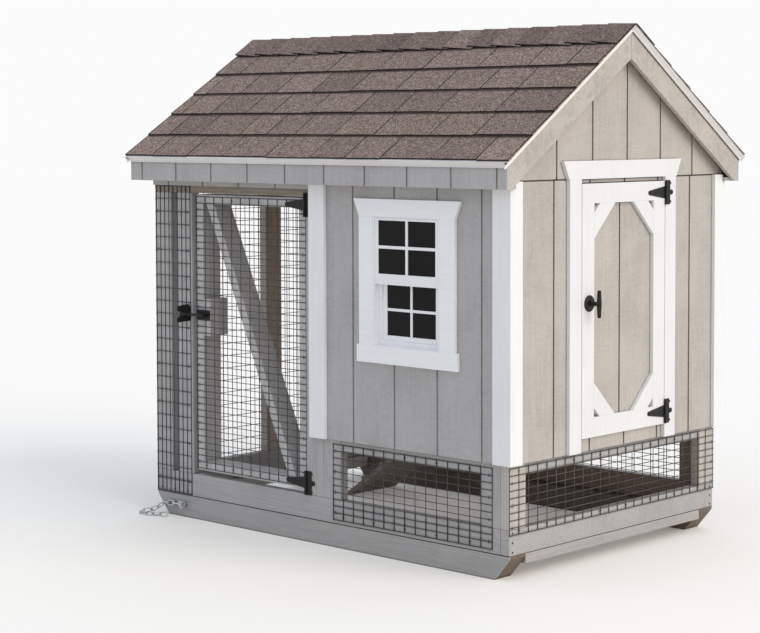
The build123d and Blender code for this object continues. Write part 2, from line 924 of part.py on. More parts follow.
rake_run = eave_face + nose_end - ridge_gap
deck_ridge = over_deck(ridge_gap, 0)
for side in (-1, 1):
    rake_leg_points = [
        (side * rake_back, deck_ridge),
        (side * (rake_face + nose_end), deck_ridge),
        (side * (rake_face + nose_end), deck_ridge + drip_edge_thick / slope_cos),
        (side * rake_back, deck_ridge + drip_edge_thick / slope_cos),
    ]
    rake_face_points = []
    for out, drop in drip_face:
        rake_face_points.append((side * (rake_face + out), deck_ridge + drop / slope_cos))
    for sign in (-1, 1):
        with BuildPart() as rake_drip:
            with BuildSketch(Plane.XZ.offset(-sign * ridge_gap)):
                for points in (rake_leg_points, rake_face_points):
                    with BuildLine():
                        Polyline(*points, close=True)
                    make_face()
            extrude(amount=rake_run / slope_cos, dir=(0, sign * slope_cos, -slope_sin))
        drips.append(rake_drip.part)
save("drip_edges", *drips)

# Shingles: five lapped courses a side, each thick at its butt and thin where the next covers it
bed = drip_edge_thick + roof_fit / 2
course_run = shingle_exposure * slope_cos
shingle_sides = []
for sign in (-1, 1):
    outline = [(ridge_gap, over_deck(ridge_gap, bed)), (shingle_eave, over_deck(shingle_eave, bed))]
    butt_y = shingle_eave
    while butt_y - course_run > cap_reach * slope_cos / 2:
        outline.append((butt_y, over_deck(butt_y, bed + shingle_butt)))
        butt_y -= course_run
        outline.append((butt_y, over_deck(butt_y, bed + shingle_head)))
    outline.append((ridge_gap, over_deck(ridge_gap, bed + shingle_head)))
    shingle_sides.append(along_x([(sign * y, z) for y, z in outline], (-shingle_end, shingle_end)))
save("roof_shingles", *shingle_sides)

# Ridge cap: folded shingles lapped along the ridge, mitred over its line
cap_bed = bed + shingle_head + cap_clear
cap_step = 2 * shingle_end / cap_count
cap_outline = [(shingle_end, 0), (-shingle_end, 0)]
for index in range(cap_count):
    cap_outline.append((-shingle_end + index * cap_step, cap_butt))
    cap_outline.append((-shingle_end + (index + 1) * cap_step, cap_head))
cap_ridge = over_deck(0, cap_bed)
cap_past = 2 * (cap_butt + cap_bed)
cap_halves = []
for sign in (-1, 1):
    cap_plane = Plane(
        origin=(0, -sign * cap_past * slope_cos, cap_ridge + cap_past * slope_sin),
        x_dir=(sign, 0, 0),
        z_dir=(0, sign * slope_cos, -slope_sin),
    )
    with BuildPart() as cap_half:
        with BuildSketch(cap_plane):
            with BuildLine():
                Polyline(*[(sign * x, -rise) for x, rise in cap_outline], close=True)
            make_face()
        extrude(amount=cap_past + cap_reach)
        with BuildSketch(Plane.XZ):
            with Locations((0, cap_ridge)):
                Rectangle(3 * shingle_end, 3 * cap_reach)
        extrude(amount=sign * cap_reach, mode=Mode.SUBTRACT)
    cap_halves.append(cap_half.part)
with BuildPart() as ridge_cap:
    for half in cap_halves:
        add(half)
save("ridge_cap", ridge_cap.part)

# Wire on the walls of the run and round the space under the house
front_wall = facing_front(half_width)
back_wall = facing_back(half_width)
run_gaps = (mesh_fine, mesh_coarse)
low_gaps = (mesh_coarse, mesh_fine)
run_mesh_z = (skid_size + run_mesh_edge, frieze_bottom - wire)
panel_mesh_x = (-half_length + wire, latch_post_right - panel_mesh_edge)
back_mesh_x = (-half_length + wire, mid_trim_left - wire)
low_mesh_x = (house_post_right - low_mesh_lap, corner_post_left + low_mesh_tail)
low_mesh_z = (skid_size + low_mesh_edge, floor_frame_bottom + low_mesh_rise)
end_mesh_y = (-half_width, half_width)
end_mesh_z = (rail_top - end_mesh_lap, floor_frame_bottom + end_mesh_rise)
run_end_z = (skid_size, gable_seam - wire)
save(
    "front_meshes",
    *mesh(front_wall, panel_mesh_x, run_mesh_z, *run_gaps),
    *mesh(front_wall, low_mesh_x, low_mesh_z, *low_gaps),
)
save(
    "back_meshes",
    *mesh(back_wall, back(back_mesh_x), run_mesh_z, *run_gaps),
    *mesh(back_wall, back(low_mesh_x), low_mesh_z, *low_gaps),
)
save(
    "end_meshes",
    *mesh(facing_house_end(half_length), end_mesh_y, end_mesh_z, *low_gaps),
    *mesh(facing_run_end(half_length), end_mesh_y, run_end_z, *run_gaps),
)

# Run door: four members on edge, a long brace, a block for the latch, and its wire outside
run_door_face = half_width - mesh_thick
run_door_y = (-run_door_face, -run_door_face + stud_wide)
stile_left = (run_door_left, run_door_left + stud_thin)
stile_right = (run_door_right - stud_thin, run_door_right)
rail_x = (stile_left[1], stile_right[0])
save(
    "run_door_frame",
    board(stile_left, run_door_y, (run_door_bottom, run_door_top)),
    board(stile_right, run_door_y, (run_door_bottom, run_door_top)),
    board(rail_x, run_door_y, (run_door_bottom, run_door_bottom + stud_thin)),
    board(rail_x, run_door_y, (run_door_top - stud_thin, run_door_top)),
)
brace_top = run_door_top - stud_thin
brace_bottom = run_door_bottom + stud_thin
brace_run = rail_x[1] - rail_x[0] - 2 * brace_foot_inset
brace_rise = brace_top - brace_bottom
brace_wide = stud_thin * (brace_rise**2 + brace_run**2) ** 0.5 / brace_rise
brace_points = [
    (rail_x[0] + brace_foot_inset, brace_top),
    (rail_x[0] + brace_foot_inset + brace_wide, brace_top),
    (rail_x[1] - brace_foot_inset, brace_bottom),
    (rail_x[1] - brace_foot_inset - brace_wide, brace_bottom),
]
save("run_door_brace", along_y(brace_points, run_door_y))
latch_z = run_door_bottom + latch_height
latch_block_bottom = latch_z - latch_block_drop
latch_block_z = (latch_block_bottom, latch_block_bottom + latch_block_high)
save("run_door_latch_block", board((stile_left[1], stile_left[1] + stud_thin), run_door_y, latch_block_z))
door_mesh_x = (run_door_left, run_door_right)
door_mesh_z = (run_door_bottom + door_mesh_edge, run_door_top - door_mesh_edge)
save("run_door_mesh", *mesh(facing_front(run_door_face), door_mesh_x, door_mesh_z, *low_gaps))

# House door: a grooved panel with white boards over it that leave an eight-sided field
handle_y = -door_half + handle_inset
handle_z = house_door_bottom + handle_height
spindle_hole = spindle_radius + turn_clear
door_panel_face = facing_house_end(end_siding_face)
with BuildPart() as door_panel:
    with BuildSketch(door_panel_face):
        with Locations((0, (house_door_bottom + house_door_top) / 2)):
            Rectangle(house_door_wide, house_door_top - house_door_bottom)
        with Locations((handle_y, handle_z)):
            Circle(spindle_hole, mode=Mode.SUBTRACT)
    extrude(amount=-siding_thick)
    with BuildSketch(door_panel_face):
        for place in groove_places(door_groove, -door_half, door_half):
            with Locations((place, (house_door_bottom + house_door_top) / 2)):
                Rectangle(groove_width, house_door_top - house_door_bottom + 2)
    extrude(amount=-groove_depth, mode=Mode.SUBTRACT)
save("house_door_panel", door_panel.part)

door_field_half = door_half - door_board_wide
with BuildPart() as latch_stile:
    with BuildSketch(door_panel_face):
        with Locations((-door_half + door_board_wide / 2, (house_door_bottom + house_door_top) / 2)):
            Rectangle(door_board_wide, house_door_top - house_door_bottom)
        with Locations((handle_y, handle_z)):
            Circle(spindle_hole, mode=Mode.SUBTRACT)
    extrude(amount=trim_thick)
door_rail_y = (-door_field_half, door_field_half)
save(
    "house_door_frame",
    latch_stile.part,
    board(end_trim_x, (door_field_half, door_half), (house_door_bottom, house_door_top)),
    board(end_trim_x, door_rail_y, (house_door_bottom, house_door_bottom + door_board_wide)),
    board(end_trim_x, door_rail_y, (house_door_top - door_board_wide, house_door_top)),
)
brace_side = door_brace_wide * 2**0.5
braces = []
for corner_z, up in ((house_door_bottom + door_board_wide, 1), (house_door_top - door_board_wide, -1)):
    for side in (-1, 1):
        corner_y = side * door_field_half
        near, far = door_corner_cut - brace_side, door_corner_cut
        brace_corners = [
            (corner_y - side * near, corner_z),
            (corner_y - side * far, corner_z),
            (corner_y, corner_z + up * far),
            (corner_y, corner_z + up * near),
        ]
        braces.append(along_x(brace_corners, end_trim_x))
save("house_door_braces", *braces)

# Tee hinges: a leaf with an ear on the wall, a tapered strap on the door, and a pin riveted flush
axis_lift = knuckle_radius + knuckle_lift
strap_half = strap_knuckle / 2
leaf_half = leaf_high / 2
ear_middle = ear_reach - ear_radius
leaf_knuckle = leaf_half - strap_half - knuckle_gap
leaf_notch = 2 * (knuckle_radius + knuckle_gap)


def upright(place, height):
    """A level plane across a hinge's axis, at a height over the hinge's middle."""
    return Plane(
        origin=place.from_local_coords((0, height, axis_lift)),
        x_dir=place.x_dir,
        z_dir=place.y_dir,
    )


def hinge_leaf(place):
    """The wall leaf: plate, ear and two outer knuckles bored for the pin."""
    with BuildPart() as leaf:
        with BuildSketch(place):
            with Locations((leaf_wide / 2, 0)):
                Rectangle(leaf_wide, leaf_high)
            with Locations((ear_middle, 0)):
                Circle(ear_radius)
            with Locations((ear_middle / 2, 0)):
                Rectangle(ear_middle, 2 * ear_radius)
            Rectangle(leaf_notch, strap_knuckle + 2 * knuckle_gap, mode=Mode.SUBTRACT)
        extrude(amount=hinge_plate)
        for start in (-leaf_half, strap_half + knuckle_gap):
            with BuildSketch(upright(place, start)):
                Circle(knuckle_radius)
            extrude(amount=leaf_knuckle)
            with BuildSketch(upright(place, start)):
                RegularPolygon(pin_radius + pin_fit, pin_sides)
            extrude(amount=leaf_knuckle, mode=Mode.SUBTRACT)
    return leaf.part


def hinge_strap(place):
    """The door strap: a taper to a round tip, and the middle knuckle."""
    root = knuckle_radius + 1
    with BuildPart() as strap:
        with BuildSketch(place):
            with BuildLine():
                Polyline(
                    (-root, strap_root_high / 2),
                    (-strap_length + strap_tip_radius, strap_tip_radius),
                    (-strap_length + strap_tip_radius, -strap_tip_radius),
                    (-root, -strap_root_high / 2),
                    close=True,
                )
            make_face()
            with Locations((-strap_length + strap_tip_radius, 0)):
                Circle(strap_tip_radius)
            with Locations((-root / 2, 0)):
                Rectangle(root, strap_knuckle)
        extrude(amount=hinge_plate)
        with BuildSketch(upright(place, -strap_half)):
            Circle(knuckle_radius)
        extrude(amount=strap_knuckle)
        with BuildSketch(upright(place, -strap_half)):
            RegularPolygon(pin_radius + pin_clear, pin_sides)
        extrude(amount=strap_knuckle, mode=Mode.SUBTRACT)
    return strap.part


def hinge_pin(place):
    """The pin, flush with both ends of the leaf."""
    with BuildPart() as pin:
        with BuildSketch(upright(place, -leaf_half)):
            RegularPolygon(pin_radius, pin_sides)
        extrude(amount=leaf_high)
    return pin.part


house_hinge_heights = (house_door_bottom + house_hinge_insets[0], house_door_top - house_hinge_insets[1])
run_hinge_heights = (run_door_bottom + run_hinge_insets[0], run_door_top - run_hinge_insets[1])
house_hinge_y = door_half + door_gap / 2
run_hinge_x = (run_door_right + hinge_post_left) / 2
house_hinges = [
    Plane(origin=(end_trim_face, house_hinge_y, height), x_dir=(0, 1, 0), z_dir=(1, 0, 0))
    for height in house_hinge_heights
]
run_hinges = [
    Plane(origin=(run_hinge_x, -half_width, height), x_dir=(1, 0, 0), z_dir=(0, -1, 0))
    for height in run_hinge_heights
]
save("house_door_straps", *[hinge_strap(place) for place in house_hinges])
save("run_door_straps", *[hinge_strap(place) for place in run_hinges])
save("hinge_leaves", *[hinge_leaf(place) for place in house_hinges + run_hinges])
save("hinge_pins", *[hinge_pin(place) for place in house_hinges + run_hinges])

# Tee handle: a domed rosette on the door, a turned neck with a tapered cross bar, and the bar inside
handle_axis = Plane(origin=(0, handle_y, handle_z), x_dir=(0, 1, 0), z_dir=(1, 0, 0))
rosette_bore = handle_neck_radius + turn_clear
rosette_outline = [
    (0, rosette_bore),
    (0, rosette_radius),
    (rosette_rim, rosette_radius),
    (rosette_thick, rosette_radius - rosette_dome),
    (rosette_thick, rosette_bore),
]
with BuildPart() as rosette:
    with BuildSketch(Plane.XZ.offset(-handle_y)):
        with BuildLine():
            Polyline(*[(end_trim_face + out, handle_z + rise) for out, rise in rosette_outline], close=True)
        make_face()
    revolve(axis=Axis((end_trim_face, handle_y, handle_z), (1, 0, 0)))
save("handle_rosette", rosette.part)

latch_bar_inner = half_length - door_stop_thick - latch_bar_clear - latch_bar_thick
bar_axis_x = end_trim_face + handle_reach
half_bar = handle_bar_long / 2
bar_sections = [
    (-half_bar, handle_tip_radius),
    (-half_bar + handle_bar_ease, handle_end_radius),
    (0, handle_bar_radius),
    (half_bar - handle_bar_ease, handle_end_radius),
    (half_bar, handle_tip_radius),
]
with BuildPart() as tee_handle:
    for rise, radius in bar_sections:
        with BuildSketch(Plane(origin=(bar_axis_x, handle_y, handle_z + rise))):
            RegularPolygon(radius, handle_bar_sides)
    loft(ruled=True)
    with BuildSketch(handle_axis.offset(latch_bar_inner + latch_bar_thick)):
        Circle(spindle_radius)
    extrude(amount=end_trim_face - latch_bar_inner - latch_bar_thick)
    with BuildSketch(handle_axis.offset(end_trim_face + turn_clear)):
        Circle(handle_neck_radius)
    extrude(amount=handle_reach - turn_clear)
    with BuildSketch(handle_axis.offset(end_trim_face)):
        Circle(spindle_radius)
    extrude(amount=turn_clear)
save("tee_handle", tee_handle.part)

with BuildPart() as latch_bar:
    with BuildSketch(handle_axis.offset(latch_bar_inner)):
        Circle(latch_bar_wide / 2)
        with Locations((0, latch_bar_long / 2)):
            Rectangle(latch_bar_wide, latch_bar_long)
    extrude(amount=latch_bar_thick)
    tip_edges = latch_bar.edges().filter_by(Axis.X).group_by(Axis.Z)[-1]
    chamfer(tip_edges, latch_bar_wide / 4)
save("latch_bar", latch_bar.part)

# Gate latch: a plate on the post with two forked cheeks
latch_plate_right = latch_post_right - latch_plate_edge
cheek_right = latch_post_right - cheek_edge
latch_plate_back = half_width + mesh_thick
latch_plate_face = latch_plate_back + latch_plate_thick
latch_z_span = (latch_z - latch_plate_high / 2, latch_z + latch_plate_high / 2)
striker_y = latch_plate_back + striker_stand
cheek_end = latch_plate_face + cheek_reach
slot_end = striker_y - slot_half
mouth_start = cheek_end - mouth_deep
catch_pivot = (-(latch_plate_face + catch_pivot_stand), latch_z + catch_pivot_rise)
cheek_points = [
    (-latch_plate_face, latch_z_span[0]),
    (-cheek_end, latch_z_span[0] - cheek_flare),
    (-cheek_end, latch_z - mouth_half),
    (-mouth_start, latch_z - slot_half),
    (-slot_end, latch_z - slot_half),
    (-slot_end, latch_z + slot_half),
    (-mouth_start, latch_z + slot_half),
    (-cheek_end, latch_z + mouth_half),
    (-cheek_end, latch_z_span[1] + cheek_flare),
    (-latch_plate_face, latch_z_span[1] + cheek_root),
]
cheek_rights = (cheek_right, cheek_right - cheek_thick - cheek_gap)
catch_hole = catch_pin_radius + pin_fit
with BuildPart() as latch_body:
    with BuildSketch(Plane.XZ.offset(latch_plate_back)):
        with Locations((latch_plate_right - latch_plate_wide / 2, latch_z)):
            Rectangle(latch_plate_wide, latch_plate_high)
    extrude(amount=latch_plate_thick)
    for right in cheek_rights:
        with BuildSketch(Plane.YZ.offset(right - cheek_thick)):
            with BuildLine():
                Polyline(*cheek_points, close=True)
            make_face()
            with Locations(catch_pivot):
                Circle(catch_hole, mode=Mode.SUBTRACT)
        extrude(amount=cheek_thick)
save("gate_latch_body", latch_body.part)

catch_middle = cheek_right - cheek_thick - cheek_gap / 2
with BuildPart() as latch_catch:
    with BuildSketch(Plane.YZ.offset(catch_middle - catch_thick / 2)):
        with Locations(catch_pivot):
            Circle(catch_eye_radius)
            with Locations((-catch_length / 2, 0)):
                Rectangle(catch_length, 2 * catch_arm_half)
            with Locations((-catch_length - catch_arm_half, 0)):
                Rectangle(2 * catch_arm_half, 3 * catch_arm_half)
    extrude(amount=catch_thick)
    with BuildSketch(Plane.YZ.offset(cheek_rights[1] - cheek_thick - 1)):
        with Locations(catch_pivot):
            Circle(catch_pin_radius)
    extrude(amount=cheek_right - cheek_rights[1] + cheek_thick + 2)
save("gate_latch_catch", latch_catch.part)

# Striker: a rod on a foot and plate, over the run door's wire
striker_end = latch_post_right - striker_reach
striker_plate_left = run_door_left + striker_plate_edge
striker_foot_left = striker_plate_left + striker_foot_inset
striker_foot_right = striker_plate_left + striker_plate_wide - striker_foot_edge
with BuildPart() as striker:
    with BuildSketch(Plane.XZ.offset(half_width)):
        with Locations((striker_plate_left + striker_plate_wide / 2, latch_z)):
            Rectangle(striker_plate_wide, striker_plate_high)
    extrude(amount=latch_plate_thick)
    with BuildSketch(Plane.XZ.offset(half_width)):
        with Locations(((striker_foot_left + striker_foot_right) / 2, latch_z)):
            Rectangle(striker_foot_right - striker_foot_left, 2 * striker_radius)
    extrude(amount=striker_y - half_width)
    with BuildSketch(Plane.YZ.offset(striker_end)):
        with Locations((-striker_y, latch_z)):
            Circle(striker_radius)
    extrude(amount=striker_foot_right - striker_end)
save("gate_latch_striker", striker.part)

# Pop door: it stands open, raised between two rabbeted guides on the house side
guide_x = partition_right + siding_thick
pop_door_x = (guide_x + pop_clear, guide_x + pop_clear + pop_door_thick)
pop_lift = pop_high + pop_door_lap
pop_door_z = (pop_bottom - pop_door_lap + pop_lift, pop_bottom + pop_high + pop_door_lap + pop_lift)
pop_door_y = (pop_left - pop_door_lap, pop_right + pop_door_lap)
save("pop_door", board(pop_door_x, pop_door_y, pop_door_z))
guide_depth = pop_door_thick + 2 * pop_clear
pop_middle = (pop_left + pop_right) / 2
guide_inner = pop_door_y[1] + pop_clear - pop_middle
guide_outline = [
    (guide_x, guide_inner),
    (guide_x, guide_inner + guide_side),
    (guide_x + guide_depth + guide_lip, guide_inner + guide_side),
    (guide_x + guide_depth + guide_lip, guide_inner - pop_door_lap - pop_clear),
    (guide_x + guide_depth, guide_inner - pop_door_lap - pop_clear),
    (guide_x + guide_depth, guide_inner),
]
guide_z = (floor_top, pop_door_z[1])
guides = []
for sign in (-1, 1):
    guides.append(along_z([(x, pop_middle + sign * y) for x, y in guide_outline], guide_z))
save("pop_door_guides", *guides)

# Ramp from the pop hole to the ground, with cleats for footing
ramp_left = pop_left + ramp_inset
ramp_right = pop_right - ramp_inset
ramp_foot = partition_left - ramp_run
ramp_head = partition_left - ground_gap
ramp_top = floor_frame_top - ramp_drop
ramp_angle = atan((ramp_top - ground_gap) / (ramp_head - ramp_foot))
ramp_deep = ramp_thick / cos(ramp_angle)
ramp_points = [
    (ramp_head, ramp_top),
    (ramp_head, ramp_top - ramp_deep),
    (ramp_foot + ramp_deep / tan(ramp_angle), ground_gap),
    (ramp_foot, ground_gap),
]
with BuildPart() as ramp:
    with BuildSketch(Plane.XZ.offset(-ramp_right)):
        with BuildLine():
            Polyline(*ramp_points, close=True)
        make_face()
        for index in range(cleat_count):
            share = (index + 1) / (cleat_count + 1)
            cleat_x = ramp_foot + share * (ramp_head - ramp_foot)
            cleat_z = ground_gap + share * (ramp_top - ground_gap)
            with BuildLine():
                Polyline(
                    (cleat_x, cleat_z),
                    (cleat_x + cleat_wide * cos(ramp_angle), cleat_z + cleat_wide * sin(ramp_angle)),
                    (
                        cleat_x + cleat_wide * cos(ramp_angle) - cleat_high * sin(ramp_angle),
                        cleat_z + cleat_wide * sin(ramp_angle) + cleat_high * cos(ramp_angle),
                    ),
                    (cleat_x - cleat_high * sin(ramp_angle), cleat_z + cleat_high * cos(ramp_angle)),
                    close=True,
                )
            make_face()
    extrude(amount=ramp_right - ramp_left)
save("ramp", ramp.part)

# Roost bars from wall to wall
roosts = []
for out, rise in roost_seats:
    roost_left = partition_left + out - roost_size / 2
    roost_bottom = floor_top + rise - roost_size / 2
    roost_x = (roost_left, roost_left + roost_size)
    roosts.append(board(roost_x, (-half_width, half_width), (roost_bottom, roost_bottom + roost_size)))
save("roost_bars", *roosts)

# Nest boxes against the back wall: three uprights, a lip and a sloping lid
nest_left = partition_left + nest_inset
nest_right = corner_post_left - nest_gap
nest_front = inner_y - nest_deep
nest_slope = (nest_back_high - nest_front_high) / (inner_y - nest_front)


def nest_height(y):
    """Height of the uprights' sloping top."""
    return floor_top + nest_front_high + (y - nest_front) * nest_slope


upright_points = [
    (nest_front, floor_top),
    (inner_y, floor_top),
    (inner_y, nest_height(inner_y)),
    (nest_front, nest_height(nest_front)),
]
lid_front = nest_front - 2 * nest_board
lid_points = [
    (lid_front, nest_height(lid_front)),
    (inner_y, nest_height(inner_y)),
    (inner_y, nest_height(inner_y) + nest_board),
    (lid_front, nest_height(lid_front) + nest_board),
]
nest_parts = []
for share in (0, 0.5, 1):
    left = nest_left + share * (nest_right - nest_left - nest_board)
    nest_parts.append(along_x(upright_points, (left, left + nest_board)))
nest_x = (nest_left, nest_right)
nest_lip_y = (nest_front - nest_board, nest_front)
nest_parts.append(board(nest_x, nest_lip_y, (floor_top, floor_top + nest_lip_high)))
nest_parts.append(along_x(lid_points, nest_x))
save("nest_boxes", *nest_parts)

# Tow chain: a bolt through the front skid, and links that run along it and lie on the ground
chain_reach = chain_straight / 2 + chain_bend - chain_wire / 2
chain_y = -half_width - chain_bend - chain_wire / 2 - chain_side_gap
chain_lie = chain_bend * sin(radians(link_lean)) + chain_wire / 2 + ground_gap
chain_heights = [chain_bolt_z - drop for drop in chain_drops]
link_end = [
    (chain_straight / 2, -chain_bend),
    (chain_straight / 2 + chain_bend, -chain_bend / 2),
    (chain_straight / 2 + chain_bend, chain_bend / 2),
    (chain_straight / 2, chain_bend),
]
link_outline = link_end + [(-x, -y) for x, y in link_end]


def chain_link(near, far, roll):
    """A closed link of round wire between the two places where its neighbours bear on it."""
    along = (far - near).normalized()
    level = along.cross(Vector(0, 0, 1)).normalized()
    facing = level * sin(radians(roll)) + level.cross(along) * cos(radians(roll))
    lie = Plane(origin=(near + far) / 2, x_dir=along, z_dir=facing)
    with BuildPart() as link:
        with BuildLine(lie):
            Polyline(*link_outline, close=True)
        start = lie.from_local_coords((0, -chain_bend, 0))
        with BuildSketch(Plane(origin=start, x_dir=lie.z_dir, z_dir=lie.x_dir)):
            RegularPolygon(chain_wire / 2, 6)
        sweep(transition=Transition.RIGHT)
    return link.part


chain = []
near = Vector(chain_bolt_x + bolt_radius + bolt_fit, chain_y, chain_bolt_z)
for index, heading in enumerate(chain_headings):
    lying = index >= len(chain_heights)
    height = chain_lie if lying else chain_heights[index]
    run = ((2 * chain_reach) ** 2 - (near.Z - height) ** 2) ** 0.5
    far = Vector(near.X + run * cos(radians(heading)), near.Y + run * sin(radians(heading)), height)
    lean = link_lean * min(1, index / len(chain_heights))
    chain.append(chain_link(near, far, link_quarter * (index + 1) + lean))
    near = far
with BuildPart() as chain_bolt:
    with BuildSketch(Plane.XZ.offset(half_width - bolt_deep)):
        with Locations((chain_bolt_x, chain_bolt_z)):
            Circle(bolt_radius)
    extrude(amount=bolt_deep + bolt_stand)
    with BuildSketch(Plane.XZ.offset(half_width + bolt_stand)):
        with Locations((chain_bolt_x, chain_bolt_z)):
            Circle(washer_radius)
    extrude(amount=washer_thick)
    with BuildSketch(Plane.XZ.offset(half_width + bolt_stand + washer_thick)):
        with Locations((chain_bolt_x, chain_bolt_z)):
            RegularPolygon(bolt_head_radius, 6)
    extrude(amount=bolt_head_high)
save("tow_chain", *chain, chain_bolt.part)
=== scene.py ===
import math
import random

import bmesh
import bpy
import numpy
from mathutils import Matrix, Vector


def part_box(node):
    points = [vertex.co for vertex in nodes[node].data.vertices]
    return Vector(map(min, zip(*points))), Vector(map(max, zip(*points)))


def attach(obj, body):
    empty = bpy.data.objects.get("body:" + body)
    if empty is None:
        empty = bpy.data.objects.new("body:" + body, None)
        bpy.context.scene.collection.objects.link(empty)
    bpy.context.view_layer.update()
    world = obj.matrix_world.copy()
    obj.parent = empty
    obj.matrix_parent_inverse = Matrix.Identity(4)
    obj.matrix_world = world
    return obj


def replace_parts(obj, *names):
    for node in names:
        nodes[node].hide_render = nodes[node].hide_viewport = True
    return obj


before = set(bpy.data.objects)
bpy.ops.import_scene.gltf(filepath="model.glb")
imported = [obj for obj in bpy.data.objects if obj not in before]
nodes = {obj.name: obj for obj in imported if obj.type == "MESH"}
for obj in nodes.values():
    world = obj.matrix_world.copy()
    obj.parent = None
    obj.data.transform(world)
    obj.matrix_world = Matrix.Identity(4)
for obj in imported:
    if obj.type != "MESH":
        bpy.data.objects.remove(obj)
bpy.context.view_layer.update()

# Roof sizes, in metres as all sizes here
ROOF_ANGLE = math.radians(34)
SLOPE_COS = math.cos(ROOF_ANGLE)
SLOPE_SIN = math.sin(ROOF_ANGLE)
SHINGLE_COURSES = 5
SHINGLE_EXPOSURE = 0.146
SHINGLE_BED = 0.0014
SHINGLE_BUTT = 0.0082
SHINGLE_HEAD = 0.002
EAVE_BUTT = 0.0080
HEAD_LAP = 0.03
RIDGE_MARGIN = 0.002
# Width of the asphalt-dark strip on top of a tab at a rake: a worn cut edge and a painted shadow line
RAKE_STRIP = 0.007
SHEET_THICK = 0.0008
SHEET_SIDE = 0.002
SHEET_EAVE = 0.004

# Shingle tabs: widths to draw from, and how far one tab strays from the next
TAB_WIDTHS = (0.150, 0.175, 0.205, 0.205, 0.235, 0.270)
WIDEST_LAST_TAB = 0.30
NARROWEST_TAB = 0.04
FIRST_TAB_SHIFT = 0.15
TAB_GAP = (0.0021, 0.0030)
TAB_STEP = 0.05
TAB_CURL = 0.0011
BUTT_SHIFT = 0.0045
BUTT_WEAR = 0.0016
BUTT_WAVER = 0.0010

# Where a tab passes under the next course, and its lifts over the bed from there to its head
LAP_PLACES = (0.014, 0.006)
LAP_LIP = 0.0003
HEAD_TAPER = 0.6
TAB_UNDERSIDE = (0.0012, 0.0007, 0.0006, 0.0003)
# Past these rows a tab's tone falls to nothing, which paints shade on the strip just below the next course's
# butt
UNSHADED_ROWS = 3

# Tones of tabs and caps: lowest, usual and highest
SHINGLE_TONE = (0.46, 0.64, 0.84)
CAP_TONE = (0.3, 0.46, 0.85)
TONE_SPREAD = 0.08

# Ridge caps: shares of a cap along the ridge and across it come last
CAP_REACH = 0.132
CAP_REACH_STRAY = (-0.004, 0.002)
CAP_COUNT = 17
CAP_BED = SHINGLE_BED + SHINGLE_HEAD + 0.001
CAP_BUTT = 0.0066
CAP_HEAD = 0.002
CAP_FOLD = 0.006
CAP_SKEW = 0.009
CAP_CURL = 0.0025
CAP_WAVER = 0.0012
CAP_ALONG = (0.0, 0.35, 0.7, 1.0)
CAP_ACROSS = (-1.0, -0.8, -0.55, -0.3, -0.14, -0.06, -0.02, 0.02, 0.06, 0.14, 0.3, 0.55, 0.8, 1.0)

# Wires, staples and chain
WIRE_RADIUS = 0.00145
STAPLE_RADIUS = 0.0007
STAPLE_HALF = 0.005
STAPLE_INSET = 0.014
STAPLE_LEG = 0.003
STAPLE_SIDES = 6
STAPLE_EVERY = 3
LINK_STRAIGHT = 0.010
LINK_BEND = 0.009
LINK_WIRE = 0.003
LINK_STEPS = 24
LINK_SIDES = 10
BOLT_OVER_LINK = 1.2

# Eased edges: widths, and the angles in radians that count as flat and as sharp
TIMBER_EASE = 0.002
TRIM_EASE = 0.0012
SASH_EASE = 0.0008
EASE_STEPS = 2
FLAT_ANGLE = 0.01
SHARP_ANGLE = 0.6

# Window: the pane and bars behind the face of a sash
PANE_SET = 0.004
PANE_THICK = 0.003
PANE_LAP = 0.003
BAR_SET = 0.001
BAR_BED = 0.001
CROSS_BAR_SET = 0.0002

# Nails and screws: radius and height of a head, and the places of the heads
NAIL_HEAD = (0.0036, 0.0012)
SCREW_HEAD = (0.0040, 0.0016)
HEAD_RINGS = ((1.0, -0.2), (1.0, 0.35), (0.62, 0.9))
RAIL_NAIL_INSET = 0.018
RAIL_NAIL_LEVELS = (0.100, 0.133, 0.166)
HINGE_PLATE = 0.0025
LEAF_SCREW_REACH = 0.030
LEAF_SCREW_LIFTS = (-0.034, 0.0, 0.034)
STRAP_SCREW_REACHES = (0.030, 0.062, 0.096)
HOUSE_PIN_Y = 0.2485
HOUSE_HINGE_FACE = 0.9434
HOUSE_HINGE_LEVELS = {"low": 0.497, "high": 1.303}
RUN_PIN_X = -0.064
RUN_HINGE_FACE = -0.6096
RUN_HINGE_LEVELS = {"low": 0.222, "high": 1.257}

# The photograph's camera, with the image taken as 760 by 633 pixels
IMAGE_WIDE = 760
IMAGE_HIGH = 633
CAMERA_PLACE = Vector((5.12626, -5.69913, 1.55205))
CAMERA_YAW = math.radians(43.382)
CAMERA_PITCH = math.radians(3.0)
CAMERA_ROLL = math.radians(-0.147)
CAMERA_FAR = 200.0
FOCAL_PIXELS = 1965.83
OPTICAL_ROW = 227.88
SENSOR = 36.0

# Floor, sun and sky, with linear colours
FLOOR_RADIUS = 60.0
FLOOR_SIDES = 96
FLOOR_ROUGHNESS = 0.9
FLOOR = (0.79, 0.75, 0.68)
FLOOR_SEEN = (0.924, 0.893, 0.820)
FLOOR_GLOW = 0.13
BACKDROP = (0.965, 0.965, 0.965)
SUN_ENERGY = 1.59
SUN_WIDTH = math.radians(50)
SUN_COLOUR = (1.0, 0.885, 0.735)
SUN_FROM = Vector((0.86, 0.10, 0.50))
SKY_COLOUR = (0.893, 0.98, 1.152)
SKY_STRENGTH = 0.70

